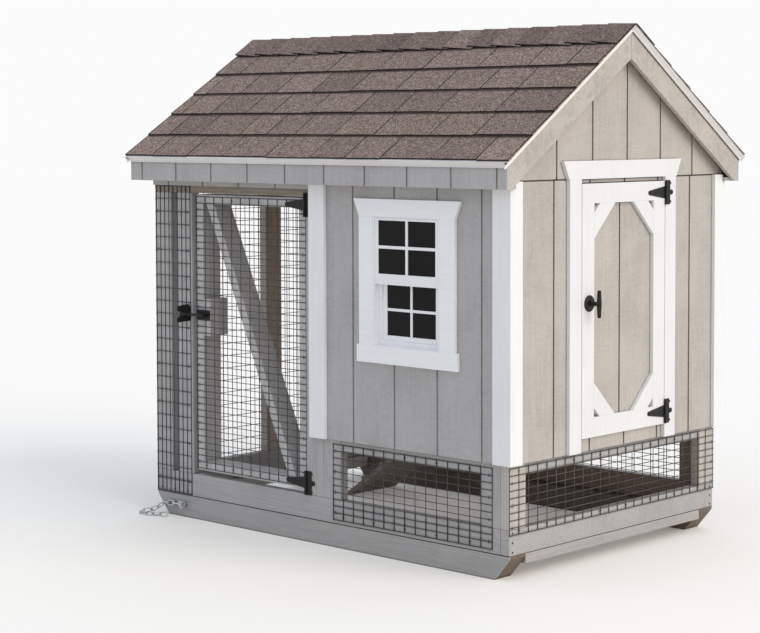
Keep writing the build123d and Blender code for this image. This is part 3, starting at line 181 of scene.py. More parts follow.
# Linear colours of the coop
WHITE = (1.0, 1.0, 1.0)
PAINT = (0.459, 0.444, 0.429)
# The ends' paint is the front's paint made lighter and warmer for the sun on the end: painted light
SUNLIT_END_PAINT = (0.4965, 0.456, 0.412)
WHITE_PAINT = (0.885, 0.882, 0.873)
# The door's white is dimmed against the sun on the end, and the window's white and vinyl are brightened
# against the shade on the front: painted shade and painted light
DOOR_WHITE_DIMMED = (0.82, 0.82, 0.815)
WINDOW_WHITE_BRIGHTENED = (0.95, 0.95, 0.945)
VINYL_BRIGHTENED = (0.95, 0.95, 0.95)
PINE = (0.50, 0.35, 0.21)
PINE_DARK = (0.30, 0.185, 0.10)
WEATHERED = (0.36, 0.31, 0.26)
DRY_WOOD = (0.50, 0.405, 0.315)
# Bare wood, darkened as a copy for the shade under the house: painted shade
SHADED_BARE_WOOD = (0.33, 0.24, 0.182)
WOOD_LINES = (0.62, 0.60, 0.58)
SPLASH = (0.20, 0.175, 0.135)
# Colour of the painted shadow lines in the seams
SEAM_SHADOW = (0.022, 0.018, 0.013)
# Colour of the painted shade in crevices, grooves and joints
CREVICE_SHADE = (0.045, 0.040, 0.034)
# The drip edge's slight warm tint stands for light bounced up from the ground: painted reflection
DRIP = (0.86, 0.83, 0.80)
BLACK_PAINT = (0.010, 0.010, 0.010)
BLACK_VINYL = (0.013, 0.013, 0.014)
ASPHALT = (0.020, 0.016, 0.014)
ZINC = (0.66, 0.69, 0.73)
GLASS_DARK = (0.005, 0.005, 0.005)
GLASS_HAZE = (0.009, 0.008, 0.008)
GRANULES = (
    (0.18, (0.080, 0.057, 0.048)),
    (0.40, (0.178, 0.132, 0.113)),
    (0.60, (0.262, 0.201, 0.172)),
    (0.80, (0.470, 0.375, 0.320)),
)
TONE_DARK = (0.213, 0.19, 0.178)
TONE_LIGHT = (1.41, 1.365, 1.32)

# How far a mapping is squeezed along the grain of the wood, and the saw marks across it
ALONG = {"x": (0.05, 1, 1), "y": (1, 0.05, 1), "z": (1, 1, 0.05), "any": (0.5, 0.5, 0.5)}
ACROSS = {"x": (1, 0.3, 0.3), "y": (0.3, 1, 0.3), "z": (0.3, 0.3, 1), "any": (1, 1, 1)}
SAW_MARKS = 0.38

# The span that holds most values of a noise
NOISE_SPAN = (0.3, 0.7)

# Paint: height of the splashed soil, reach of the painted shade in crevices, and how fast an edge or seam
# fades
SPLASH_HEIGHT = 0.20
SPLASH_MOST = 0.30
SPLASH_LEAST_CLOUD = 0.25
CREVICE_REACH = 0.010
CREVICE_SAMPLES = 6
PAINT_EDGE = 0.002
SEAM_EDGE = 0.001

# Painted shadow lines in seams where boards meet flush: the axis, how far out they start on it, their level
# and their half width
SKID_TOP = 0.0889
SIDE_SEAM = ("Y", 0.604, SKID_TOP, 0.0014)
TIE_SEAM = ("X", 0.909, SKID_TOP, 0.0014)
GABLE_SEAM = ("X", 0.92, 1.361, 0.0022)

# Where the paint stops: the inner faces of the walls, and just inside the skids' outer faces
INNER_X = 0.8775
INNER_Y = 0.5727
SKID_PAINT_Y = 0.602


class Finish:
    """A procedural material: one Principled shader and the nodes that feed it."""

    def __init__(self, name, **sockets):
        self.material = bpy.data.materials.new(name)
        self.material.use_nodes = True
        self.tree = self.material.node_tree
        self.shader = self.tree.nodes["Principled BSDF"]
        self.put(self.shader, sockets)

    def feed(self, socket, value):
        """Join a socket to another node's output, or set its own value."""
        if isinstance(value, bpy.types.NodeSocket):
            self.tree.links.new(value, socket)
        elif socket.type == "RGBA":
            socket.default_value = (*value, 1.0)
        else:
            socket.default_value = value

    def put(self, node, sockets):
        """Feed a node's sockets by name."""
        for name, value in sockets.items():
            self.feed(node.inputs[name.replace("_", " ")], value)

    def colour(self, value, **sockets):
        """Give the shader its base colour, and other sockets by name."""
        self.put(self.shader, {"Base_Color": value, **sockets})

    def add(self, kind, settings=None, **sockets):
        """A new node of a kind, with its settings and sockets."""
        node = self.tree.nodes.new("ShaderNode" + kind)
        for name, value in (settings or {}).items():
            setattr(node, name, value)
        self.put(node, sockets)
        return node

    def place(self, scale=(1, 1, 1)):
        """The object's own coordinates in metres, stretched by a scale."""
        point = self.add("TexCoord").outputs["Object"]
        return self.add("Mapping", Vector=point, Scale=scale).outputs["Vector"]

    def axis(self, name):
        """The object's own coordinate along one axis."""
        return self.add("SeparateXYZ", Vector=self.place()).outputs[name]

    def noise(self, scale, detail=2.0, distortion=0.0, vector=None):
        """Cloudy noise, over the object's own coordinates or over a given vector."""
        return self.add(
            "TexNoise",
            Vector=self.place() if vector is None else vector,
            Scale=scale,
            Detail=detail,
            Distortion=distortion,
        ).outputs["Fac"]

    def cells(self, scale):
        """Cells with a random colour each."""
        return self.add("TexVoronoi", Vector=self.place(), Scale=scale).outputs["Color"]

    def math(self, operation, first, second=0.0):
        """One sum on values or on outputs of nodes."""
        node = self.add("Math", {"operation": operation})
        for socket, value in zip(node.inputs, (first, second)):
            self.feed(socket, value)
        return node.outputs[0]

    def shares(self, *parts):
        """Values added up, each by its own share."""
        total = None
        for value, share in parts:
            part = self.math("MULTIPLY", value, share)
            total = part if total is None else self.math("ADD", total, part)
        return total

    def span(self, value, low, high, to_low=0.0, to_high=1.0):
        """A value carried from one span to another, and kept inside it."""
        names = {"From Min": low, "From Max": high, "To Min": to_low, "To Max": to_high}
        node = self.add("MapRange", Value=value)
        for name, number in names.items():
            node.inputs[name].default_value = number
        return node.outputs["Result"]

    def ramp(self, value, *stops):
        """Colours by place along a value."""
        node = self.add("ValToRGB", Fac=value)
        elements = node.color_ramp.elements
        while len(elements) < len(stops):
            elements.new(0.5)
        for element, (place, colour) in zip(elements, stops):
            element.position = place
            element.color = (*colour, 1.0)
        return node.outputs["Color"]

    def mix(self, share, first, second, mode="MIX"):
        """One colour over another. A mix node keeps its colour sockets at 6 and 7, and their result at 2."""
        node = self.add("Mix", {"data_type": "RGBA", "blend_type": mode})
        for index, value in ((0, share), (6, first), (7, second)):
            self.feed(node.inputs[index], value)
        return node.outputs[2]

    def bump(self, height, strength, distance):
        """Relief on the surface."""
        node = self.add("Bump", Height=height, Strength=strength, Distance=distance)
        self.put(self.shader, {"Normal": node.outputs["Normal"]})


def shade(colour, factor):
    """A colour made darker or lighter."""
    return tuple(channel * factor for channel in colour)


def grain(finish, along, sawn=SAW_MARKS):
    """Height of wood grain along an axis: long fibres and growth rings, with a share of saw marks."""
    stretched = finish.place(ALONG[along])
    fibres = finish.noise(230, detail=3.0, vector=stretched)
    broad = finish.noise(26, distortion=0.8, vector=stretched)
    rings = finish.math("PINGPONG", finish.math("MULTIPLY", broad, 11.0), 1.0)
    rough = finish.noise(120, detail=3.0, distortion=1.5, vector=finish.place(ACROSS[along]))
    return finish.shares((rings, 0.45 * (1 - sawn)), (fibres, 0.55 * (1 - sawn)), (rough, sawn))


def painted(
    name,
    colour,
    along,
    relief=0.0009,
    strength=0.4,
    worn=0.13,
    roughness=0.62,
    sawn=SAW_MARKS,
    crevice_shade=0.8,
    shut=0.40,
    clear=0.72,
    seam=None,
    bare=None,
    wood=SHADED_BARE_WOOD,
):
    """House paint over wood: the grain shows as relief, with soil near the ground and painted shade in
    crevices.

    worn is how far the tone varies. Crevices get the full painted shade, as strong as its argument, where
    they are as closed as shut, and none where they are as open as clear. Between the places that bare gives
    along each axis the wood has no paint, and with an empty bare it has none at all.
    """
    finish = Finish(name, Roughness=roughness)
    height = grain(finish, along, sawn)
    cloud = finish.noise(5.0, detail=4.0)
    tone = finish.shares((height, 0.55), (cloud, 0.45))
    surface = finish.ramp(
        tone, (0.38, shade(colour, 1 - worn)), (0.50, colour), (0.64, shade(colour, 1 + worn * 0.8))
    )
    if bare is not None:
        inside = 1.0
        for axis, (low, high) in bare.items():
            place = finish.axis(axis)
            inside = finish.math("MULTIPLY", finish.span(place, low - PAINT_EDGE, low), inside)
            inside = finish.math("MULTIPLY", finish.span(place, high, high + PAINT_EDGE, 1.0, 0.0), inside)
        lines = finish.ramp(height, (0.28, WOOD_LINES), (0.50, WHITE))
        surface = finish.mix(inside, surface, finish.mix(1.0, wood, lines, "MULTIPLY"))
    level = finish.axis("Z")
    splash = finish.math(
        "MULTIPLY",
        finish.span(level, 0.0, SPLASH_HEIGHT, SPLASH_MOST, 0.0),
        finish.span(cloud, *NOISE_SPAN, SPLASH_LEAST_CLOUD, 1.0),
    )
    surface = finish.mix(splash, surface, SPLASH)
    # A painted shadow line along a seam
    if seam is not None:
        axis, reach, seam_level, half = seam
        away = finish.math("ABSOLUTE", finish.math("SUBTRACT", level, seam_level))
        out = finish.math("ABSOLUTE", finish.axis(axis))
        line = finish.math(
            "MULTIPLY",
            finish.span(away, half, half + SEAM_EDGE, 1.0, 0.0),
            finish.span(out, reach - SEAM_EDGE, reach),
        )
        surface = finish.mix(line, surface, SEAM_SHADOW)
    # Painted shade: occlusion darkens crevices, grooves and joints towards the crevice colour
    if crevice_shade:
        opened = finish.add(
            "AmbientOcclusion", {"samples": CREVICE_SAMPLES}, Distance=CREVICE_REACH
        ).outputs["AO"]
        surface = finish.mix(finish.span(opened, shut, clear, crevice_shade, 0.0), surface, CREVICE_SHADE)
    finish.colour(surface)
    finish.bump(height, strength, relief)
    return finish.material


def bare_wood(name, along, light=PINE, dark=PINE_DARK):
    """Sawn wood: darker rings and fibres along the board, with a rough face."""
    finish = Finish(name, Roughness=0.78)
    height = grain(finish, along)
    cloud = finish.noise(4.0, detail=3.0)
    wood = finish.ramp(height, (0.28, dark), (0.50, light), (0.80, shade(light, 1.18)))
    finish.colour(finish.mix(finish.span(cloud, 0.35, 0.7, 0.0, 0.35), wood, dark))
    finish.bump(height, strength=0.4, distance=0.0008)
    return finish.material


def smooth_white(name, colour, roughness):
    """Moulded vinyl or coated metal: even, faintly clouded, with a fine skin."""
    finish = Finish(name, Roughness=roughness)
    cloud = finish.noise(9.0, detail=3.0)
    finish.colour(finish.ramp(cloud, (0.3, shade(colour, 0.95)), (0.7, colour)))
    finish.bump(finish.noise(700.0), strength=0.08, distance=0.0002)
    return finish.material


def black_coat(name, colour, sheen, skin, shine):
    """Black coating on metal: uneven sheen between two roughnesses, a trace of dust and a fine skin."""
    finish = Finish(name, Specular_IOR_Level=shine)
    cloud = finish.noise(45.0, detail=3.0)
    finish.colour(
        finish.ramp(cloud, (0.35, colour), (0.75, shade(colour, 1.9))),
        Roughness=finish.span(cloud, *NOISE_SPAN, *sheen),
    )
    finish.bump(finish.noise(skin), strength=0.12, distance=0.0002)
    return finish.material


def zinc_coat(name):
    """Galvanised steel: metal with cloudy spangle."""
    finish = Finish(name, Metallic=1.0)
    cloud = finish.noise(120.0, detail=3.0)
    spangle = finish.math("MULTIPLY", finish.cells(260.0), cloud)
    finish.colour(
        finish.ramp(spangle, (0.1, shade(ZINC, 0.62)), (0.5, ZINC)),
        Roughness=finish.span(cloud, *NOISE_SPAN, 0.3, 0.5),
    )
    finish.bump(cloud, strength=0.1, distance=0.0003)
    return finish.material


def dark_glass(name):
    """Window glass painted near black for the dark house behind it: painted shade."""
    finish = Finish(name, Roughness=0.04, Specular_IOR_Level=0.12)
    haze = finish.noise(7.0, detail=3.0)
    finish.colour(finish.ramp(haze, (0.3, GLASS_DARK), (0.8, GLASS_HAZE)))
    return finish.material


def granules(name):
    """Mineral granules on asphalt, mixed brown, tan and grey, toned tab by tab."""
    finish = Finish(name, Roughness=0.92)
    chip = finish.add("SeparateColor", Color=finish.cells(290.0)).outputs["Red"]
    patch = finish.noise(70.0, detail=3.0)
    mixed = finish.shares((chip, 0.6), (patch, 0.4))
    tone = finish.add("Attribute", {"attribute_name": "tone"}).outputs["Fac"]
    toned = finish.mix(tone, TONE_DARK, TONE_LIGHT)
    finish.colour(finish.mix(1.0, finish.ramp(mixed, *GRANULES), toned, "MULTIPLY"))
    finish.bump(mixed, strength=0.55, distance=0.0016)
    return finish.material


def asphalt(name):
    """The cut edge of a shingle."""
    finish = Finish(name, Roughness=0.9)
    speck = finish.noise(300.0)
    finish.colour(finish.ramp(speck, (0.35, shade(ASPHALT, 0.6)), (0.7, shade(ASPHALT, 1.8))))
    return finish.material


# Materials by use, with the settings that several of them share
timber = shade(PAINT, 0.95)
siding = {"relief": 0.0020, "strength": 0.9, "sawn": 0.68}
low_timber = {"shut": 0.5, "clear": 0.92}
smooth = {"relief": 0.0004, "strength": 0.2, "worn": 0.03, "roughness": 0.5, "crevice_shade": 0.0}
inner_x = (-INNER_X, INNER_X)
inner_y = (-INNER_Y, INNER_Y)
# Under the house the inner faces are bare wood in its darker copy, which paints the shade there
under_house = {"X": (0.0, INNER_X), "Y": inner_y}
inside_skids = {"Y": (-SKID_PAINT_Y, SKID_PAINT_Y)}

siding_paint = painted("siding_paint", PAINT, "z", crevice_shade=0.35, **siding)
door_paint = painted("door_panel_paint", SUNLIT_END_PAINT, "z", **siding)
end_paint = painted("end_siding_paint", SUNLIT_END_PAINT, "z", seam=GABLE_SEAM, **siding)
rake_paint = painted("rake_paint", SUNLIT_END_PAINT, "any", relief=0.0018, strength=0.9)
timber_x = painted("timber_paint_x", timber, "x", seam=SIDE_SEAM, bare=under_house, **low_timber)
# The skids' bare wood is at half the shaded copy's brightness: painted shade near the ground
skid_paint = painted(
    "skid_paint", timber, "x", seam=SIDE_SEAM, bare=inside_skids, wood=shade(SHADED_BARE_WOOD, 0.5), **low_timber
)
timber_y = painted("timber_paint_y", shade(PAINT, 0.96), "y", seam=TIE_SEAM, **low_timber)
# The plates are bare wood, darkened further for the shade under the frieze: bare wood with painted shade
plate_paint = painted("plate_paint", timber, "x", bare={}, wood=shade(DRY_WOOD, 0.56))
timber_z = painted("timber_paint_z", timber, "z", crevice_shade=0.4, bare={"Y": inner_y})
end_timber = painted(
    "end_timber_paint", shade(SUNLIT_END_PAINT, 1.05), "z", crevice_shade=0.4, bare={"X": inner_x}, wood=DRY_WOOD
)
door_timber = painted("door_timber_paint", shade(PAINT, 1.14), "z", crevice_shade=0.4)
trim_paint = painted("trim_paint", WHITE_PAINT, "z", **smooth)
door_white = painted("door_white", DOOR_WHITE_DIMMED, "z", **smooth)
trim_paint_x = painted("trim_paint_x", WINDOW_WHITE_BRIGHTENED, "x", **smooth)
wood_x = bare_wood("pine_x", "x")
wood_y = bare_wood("pine_y", "y")
wood_z = bare_wood("pine_z", "z")
worn_wood = bare_wood("worn_plank", "x", WEATHERED, shade(WEATHERED, 0.6))
vinyl = smooth_white("window_vinyl", VINYL_BRIGHTENED, roughness=0.38)
coated_metal = smooth_white("drip_edge_coat", DRIP, roughness=0.34)
glass = dark_glass("window_glass")
shingle_face = granules("shingle_granules")
shingle_edge = asphalt("shingle_edge")
wire_vinyl = black_coat("wire_vinyl", BLACK_VINYL, sheen=(0.28, 0.42), skin=1200.0, shine=0.8)
iron = black_coat("black_iron", BLACK_PAINT, sheen=(0.38, 0.58), skin=900.0, shine=0.25)
zinc = zinc_coat("galvanised_steel")

finishes = {
    siding_paint: "front_siding back_siding run_friezes fascias soffits",
    door_paint: "house_door_panel",
    end_paint: "house_end_siding gable_sidings",
    timber_x: "bottom_rails floor_joists",
    plate_paint: "top_plates",
    skid_paint: "skids",
    timber_y: "skid_ties",
    rake_paint: "rake_boards",
    timber_z: "front_wall_studs back_wall_studs run_door_posts",
    end_timber: "end_wall_studs",
    door_timber: "run_door_frame run_door_brace run_door_latch_block",
    trim_paint: "wall_trims",
    door_white: "door_trim house_door_frame house_door_braces",
    trim_paint_x: "window_trim",
    wood_x: "roof_deck ridge_board",
    worn_wood: "ramp",
    wood_y: "floor_panel rafters roost_bars nest_boxes",
    wood_z: "partition_panel door_stops pop_door pop_door_guides",
    vinyl: "window_frame upper_sash lower_sash",
    coated_metal: "drip_edges",
    glass: "upper_glass lower_glass",
    shingle_face: "roof_shingles ridge_cap",
    wire_vinyl: "front_meshes back_meshes end_meshes run_door_mesh",
    iron: "run_door_straps house_door_straps hinge_leaves hinge_pins handle_rosette tee_handle latch_bar"
    " gate_latch_body gate_latch_catch gate_latch_striker",
    zinc: "tow_chain",
}
for material, names in finishes.items():
    for name in names.split():
        mesh = nodes[name].data
        mesh.materials.clear()
        mesh.materials.append(material)


def new_piece(name, bm, body, slot, *materials):
    """Finish a mesh as a piece that rides on a body."""
    mesh = bpy.data.meshes.new(name)
    bmesh.ops.recalc_face_normals(bm, faces=bm.faces)
    bm.to_mesh(mesh)
    bm.free()
    for material in materials:
        mesh.materials.append(material)
    piece = bpy.data.objects.new(name, mesh)
    bpy.context.scene.collection.objects.link(piece)
    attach(piece, body)
    return piece


def slab(bm, top, bottom, edge_material=0, edge_rows=(), plain_ends=()):
    """A closed solid between two grids of points, with its own material on the rim and on chosen rows."""
    rows, columns = len(top), len(top[0])
    upper = [[bm.verts.new(point) for point in row] for row in top]
    lower = [[bm.verts.new(point) for point in row] for row in bottom]
    for i in range(rows - 1):
        for j in range(columns - 1):
            face = bm.faces.new((upper[i][j], upper[i][j + 1], upper[i + 1][j + 1], upper[i + 1][j]))
            face.material_index = edge_material if i in edge_rows else 0
            bm.faces.new((lower[i][j], lower[i + 1][j], lower[i + 1][j + 1], lower[i][j + 1]))
    rim = [(0, j) for j in range(columns)] + [(i, columns - 1) for i in range(1, rows)]
    rim += [(rows - 1, j) for j in range(columns - 2, -1, -1)] + [(i, 0) for i in range(rows - 2, 0, -1)]
    for (i, j), (k, m) in zip(rim, rim[1:] + rim[:1]):
        face = bm.faces.new((upper[i][j], lower[i][j], lower[k][m], upper[k][m]))
        face.material_index = edge_material if i != k or i not in plain_ends else 0
    return upper, lower


# Roof: separate shingle tabs in lapped courses, over a dark sheet
deck_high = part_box("roof_deck")[1]
shingle_low, shingle_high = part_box("roof_shingles")
ridge_line = deck_high.z
eave_along = (shingle_high.y - (SHINGLE_BED + EAVE_BUTT) * SLOPE_SIN) / SLOPE_COS
chance = random.Random(11)


def on_roof(x, along, lift, side):
    """A point on a slope: along runs down it from the ridge, lift is square to the deck."""
    return Vector(
        (x, side * (along * SLOPE_COS + lift * SLOPE_SIN), ridge_line - along * SLOPE_SIN + lift * SLOPE_COS)
    )


def random_tone(lowest, usual, highest):
    """A tone near the usual one, and within its limits."""
    return min(highest, max(lowest, chance.gauss(usual, TONE_SPREAD)))


def tab_edges(start, end):
    """Places of the joints along one course, unevenly spaced."""
    edges = [start]
    while end - edges[-1] > WIDEST_LAST_TAB:
        edges.append(edges[-1] + chance.choice(TAB_WIDTHS))
    edges.append(end)
    return edges


def shingle_tab(bm, tone, side, course, left, right):
    """One tab, thick at its butt and thin under the next course, with plain ends at the rakes."""
    butt = eave_along - course * SHINGLE_EXPOSURE
    middle = butt - SHINGLE_EXPOSURE
    head = RIDGE_MARGIN if course == SHINGLE_COURSES - 1 else middle - HEAD_LAP
    under = SHINGLE_BED + SHINGLE_HEAD if course else SHINGLE_BED
    at_low, at_high = left == shingle_low.x, right == shingle_high.x
    gap = chance.uniform(*TAB_GAP)
    start = left if at_low else left + gap
    end = right if at_high else right - gap
    shift = chance.uniform(0.0, BUTT_SHIFT)
    thick = (SHINGLE_BUTT if course else EAVE_BUTT) - chance.uniform(0.0, BUTT_WEAR)
    steps = max(2, round((right - left) / TAB_STEP))
    places = [start + (end - start) * step / steps for step in range(steps + 1)]
    if at_low:
        places.insert(1, start + RAKE_STRIP)
    if at_high:
        places.insert(-1, end - RAKE_STRIP)
    top, bottom = [], []
    for x in places:
        curl = chance.uniform(-TAB_CURL, 0.0)
        front = butt - shift - chance.uniform(0.0, BUTT_WAVER)
        stations = (front, (front + middle) / 2, *(middle + place for place in LAP_PLACES), head)
        lifts = (
            SHINGLE_BED + thick + curl,
            SHINGLE_BED + (thick + SHINGLE_HEAD) / 2 + curl / 2,
            SHINGLE_BED + SHINGLE_HEAD + LAP_LIP,
            SHINGLE_BED + SHINGLE_HEAD,
            SHINGLE_BED + SHINGLE_HEAD * HEAD_TAPER,
        )
        unders = (under, *(SHINGLE_BED + lift for lift in TAB_UNDERSIDE))
        top.append([on_roof(x, along, lift, side) for along, lift in zip(stations, lifts)])
        bottom.append([on_roof(x, along, lift, side) for along, lift in zip(stations, unders)])
    # At a rake the top of the last strip is asphalt-dark: a worn cut edge and a painted shadow line along the
    # drip edge
    strips = ([0] if at_low else []) + ([len(places) - 2] if at_high else [])
    rakes = ([0] if at_low else []) + ([len(places) - 1] if at_high else [])
    value = random_tone(*SHINGLE_TONE)
    for grid in slab(bm, top, bottom, 1, strips, rakes):
        for place, row in enumerate(grid):
            for station, vert in enumerate(row):
                # Painted shade: the tone falls to nothing towards the next course's butt
                vert[tone] = value if station < UNSHADED_ROWS or place in rakes else 0.0


def shingle_slope(side, name):
    """All tabs of one slope, over a dark sheet that shows in the joints."""
    bm = bmesh.new()
    tone = bm.verts.layers.float.new("tone")
    for course in range(SHINGLE_COURSES):
        first = shingle_low.x - chance.uniform(0.0, FIRST_TAB_SHIFT)
        edges = tab_edges(first, shingle_high.x)
        edges = [shingle_low.x] + [edge for edge in edges if edge > shingle_low.x + NARROWEST_TAB]
        for left, right in zip(edges, edges[1:]):
            shingle_tab(bm, tone, side, course, left, right)
    ends = (shingle_low.x + SHEET_SIDE, shingle_high.x - SHEET_SIDE)
    reaches = (RIDGE_MARGIN, eave_along - SHEET_EAVE)
    top, bottom = (
        [[on_roof(x, along, lift, side) for along in reaches] for x in ends]
        for lift in (SHINGLE_BED + SHEET_THICK, SHINGLE_BED)
    )
    for row in sum(slab(bm, top, bottom), []):
        for vert in row:
            for face in vert.link_faces:
                face.material_index = 1
    return new_piece(name, bm, "frame", "shingle", shingle_face, shingle_edge)


for side, name in ((-1, "shingles_front"), (1, "shingles_back")):
    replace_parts(shingle_slope(side, name), "roof_shingles")


def over_ridge(x, along, lift):
    """A point on a sheet folded over the ridge: along runs down either slope from the fold."""
    bent = math.hypot(along, CAP_FOLD)
    turn = ROOF_ANGLE * along / bent
    return Vector(
        (
            x,
            along * SLOPE_COS + lift * math.sin(turn),
            ridge_line - (bent - CAP_FOLD) * SLOPE_SIN + lift * math.cos(turn),
        )
    )


def ridge_caps():
    """Folded shingles lapped along the ridge, each a little out of line."""
    bm = bmesh.new()
    tone = bm.verts.layers.float.new("tone")
    low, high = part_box("ridge_cap")
    step = (high.x - low.x) / CAP_COUNT
    for index in range(CAP_COUNT):
        butt = low.x + index * step
        head = min(high.x, butt + step + HEAD_LAP)
        reach = CAP_REACH + chance.uniform(*CAP_REACH_STRAY)
        foot = CAP_BED + (CAP_HEAD if index else 0.0)
        top, bottom = [], []
        for along in CAP_ALONG:
            x = butt + (head - butt) * along
            upper = CAP_BED + CAP_BUTT + (CAP_HEAD - CAP_BUTT) * along
            lower = foot + (CAP_BED - foot) * along
            wide = reach + CAP_SKEW * (along - 0.5) + chance.uniform(-CAP_WAVER, 0.0)
            for rows, lift in ((top, upper), (bottom, lower)):
                rows.append(
                    [
                        over_ridge(x, across * wide, lift + CAP_CURL * across**4 * (1 - along))
                        for across in CAP_ACROSS
                    ]
                )
        value = random_tone(*CAP_TONE)
        for row in sum(slab(bm, top, bottom, 1), []):
            for vert in row:
                vert[tone] = value
    piece = new_piece("ridge_caps", bm, "frame", "shingle", shingle_face, shingle_edge)
    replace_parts(piece, "ridge_cap")


ridge_caps()


def linked(bm):
    """The points of each separate solid in a mesh."""
    left = set(bm.verts)
    groups = []
    for first in list(bm.verts):
        if first not in left:
            continue
        left.remove(first)
        stack, group = [first], []
        while stack:
            vert = stack.pop()
            group.append(vert)
            for edge in vert.link_edges:
                other = edge.other_vert(vert)
                if other in left:
                    left.remove(other)
                    stack.append(other)
        groups.append(group)
    return groups


def joined(node):
    """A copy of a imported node's mesh with its split corners joined."""
    bm = bmesh.new()
    bm.from_mesh(nodes[node].data)
    bmesh.ops.remove_doubles(bm, verts=bm.verts, dist=1e-6)
    return bm


def turns(sides):
    """The angles of a ring's points."""
    return [2 * math.pi * step / sides for step in range(sides)]


def band(bm, first, second):
    """Smooth faces between two rings of points."""
    for step in range(len(first)):
        after = (step + 1) % len(first)
        bm.faces.new((first[step], first[after], second[after], second[step])).smooth = True


def pipe(bm, points, radius, up, sides=8, closed=False):
    """A round rod bent along points, in the plane that is square to a direction."""
    rings = []
    for index, point in enumerate(points):
        before = points[index - 1] if index or closed else point
        after = points[(index + 1) % len(points)] if closed or index + 1 < len(points) else point
        out = (after - before).cross(up).normalized()
        rings.append(
            [bm.verts.new(point + (up * math.cos(a) + out * math.sin(a)) * radius) for a in turns(sides)]
        )
    for first, second in zip(rings, rings[1:] + (rings[:1] if closed else [])):
        band(bm, first, second)
    if not closed:
        bm.faces.new(rings[0])
        bm.faces.new(rings[-1])


def dome(bm, centre, normal, radius, height, sides=10):
    """A low round head on a face."""
    across = normal.orthogonal().normalized()
    other = normal.cross(across)
    rings = []
    for reach, lift in HEAD_RINGS:
        rings.append([])
        for a in turns(sides):
            out = (across * math.cos(a) + other * math.sin(a)) * radius * reach
            rings[-1].append(bm.verts.new(centre + out + normal * height * lift))
    for first, second in zip(rings, rings[1:]):
        band(bm, first, second)
    bm.faces.new(rings[0])
    tip = bm.verts.new(centre + normal * height)
    for step in range(sides):
        bm.faces.new((rings[-1][step], rings[-1][(step + 1) % sides], tip)).smooth = True


def staple(bm, foot, outward, aside, along):
    """A staple over a wire, with its legs in the board."""
    crown = outward * (WIRE_RADIUS + STAPLE_RADIUS)
    legs = -outward * (WIRE_RADIUS + STAPLE_LEG)
    side = aside * STAPLE_HALF
    shoulder = aside * (STAPLE_HALF - STAPLE_RADIUS)
    path = [
        foot + side + legs,
        foot + side,
        foot + shoulder + crown,
        foot - shoulder + crown,
        foot - side,
        foot - side + legs,
    ]
    pipe(bm, path, STAPLE_RADIUS, along, STAPLE_SIDES)


def round_wire(node, body):
    """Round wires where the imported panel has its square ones, held by staples."""
    bm, staples = bmesh.new(), bmesh.new()
    packed = joined(node)
    for group in linked(packed):
        places = [sorted({round(vert.co[axis], 5) for vert in group}) for axis in range(3)]
        rungs = max(range(3), key=lambda axis: len(places[axis]))
        thin = min(range(3), key=lambda axis: places[axis][-1] - places[axis][0])
        length = 3 - rungs - thin
        low, high = places[length][0], places[length][-1]
        depth = (places[thin][0] + places[thin][-1]) / 2
        outward, aside = Vector(), Vector()
        outward[thin] = math.copysign(1.0, depth)
        aside[rungs] = 1.0
        values = places[rungs]
        for index, (first, second) in enumerate(zip(values[::2], values[1::2])):
            start, end = Vector(), Vector()
            for point, reach in ((start, low), (end, high)):
                point[thin] = depth
                point[rungs] = (first + second) / 2
                point[length] = reach
            pipe(bm, [start, end], WIRE_RADIUS, outward)
            if index % STAPLE_EVERY == 1:
                along = (end - start).normalized()
                for foot in (start + along * STAPLE_INSET, end - along * STAPLE_INSET):
                    staple(staples, foot, outward, aside, along)
    packed.free()
    piece = new_piece(node + "_wires", bm, body, "black_wire", wire_vinyl)
    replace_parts(piece, node)
    new_piece(node + "_staples", staples, body, "black_hardware", iron)


for node in ("front_meshes", "back_meshes", "end_meshes"):
    round_wire(node, "frame")
round_wire("run_door_mesh", "run_door")


def round_chain():
    """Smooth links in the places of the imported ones, with the bolt as it is."""
    bm = joined("tow_chain")
    link_length = 2 * (LINK_STRAIGHT + LINK_BEND + LINK_WIRE)
    for group in linked(bm):
        points = numpy.array([vert.co for vert in group])
        centre = points.mean(axis=0)
        axes = numpy.linalg.eigh(numpy.cov((points - centre).T))[1]
        if numpy.ptp((points - centre) @ axes[:, 2]) > BOLT_OVER_LINK * link_length:
            continue
        bmesh.ops.delete(bm, geom=group, context="VERTS")
        middle, along, wide, flat = (Vector(v) for v in (centre, axes[:, 2], axes[:, 1], axes[:, 0]))
        path = []
        for step in range(LINK_STEPS):
            turn = 2 * math.pi * (step + 0.5) / LINK_STEPS
            reach = math.copysign(LINK_STRAIGHT, math.cos(turn)) + LINK_BEND * math.cos(turn)
            path.append(middle + along * reach + wide * LINK_BEND * math.sin(turn))
        pipe(bm, path, LINK_WIRE, flat, LINK_SIDES, closed=True)
    piece = new_piece("tow_chain_links", bm, "frame", "galvanised_steel", zinc)
    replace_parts(piece, "tow_chain")


round_chain()


def solids(mesh):
    """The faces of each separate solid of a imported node, taken as shells that close one after another."""
    shells, faces, unmatched = [], [], set()
    for polygon in mesh.polygons:
        points = [tuple(round(value, 6) for value in mesh.vertices[index].co) for index in polygon.vertices]
        faces.append(points)
        for first, second in zip(points, points[1:] + points[:1]):
            if (second, first) in unmatched:
                unmatched.remove((second, first))
            else:
                unmatched.add((first, second))
        if not unmatched:
            shells.append(faces)
            faces = []
    return shells


def ease(bm, edges, width):
    """Take the sharpness off edges of a mesh."""
    bmesh.ops.bevel(
        bm, geom=edges, offset=width, segments=EASE_STEPS, profile=0.5, affect="EDGES", clamp_overlap=True
    )


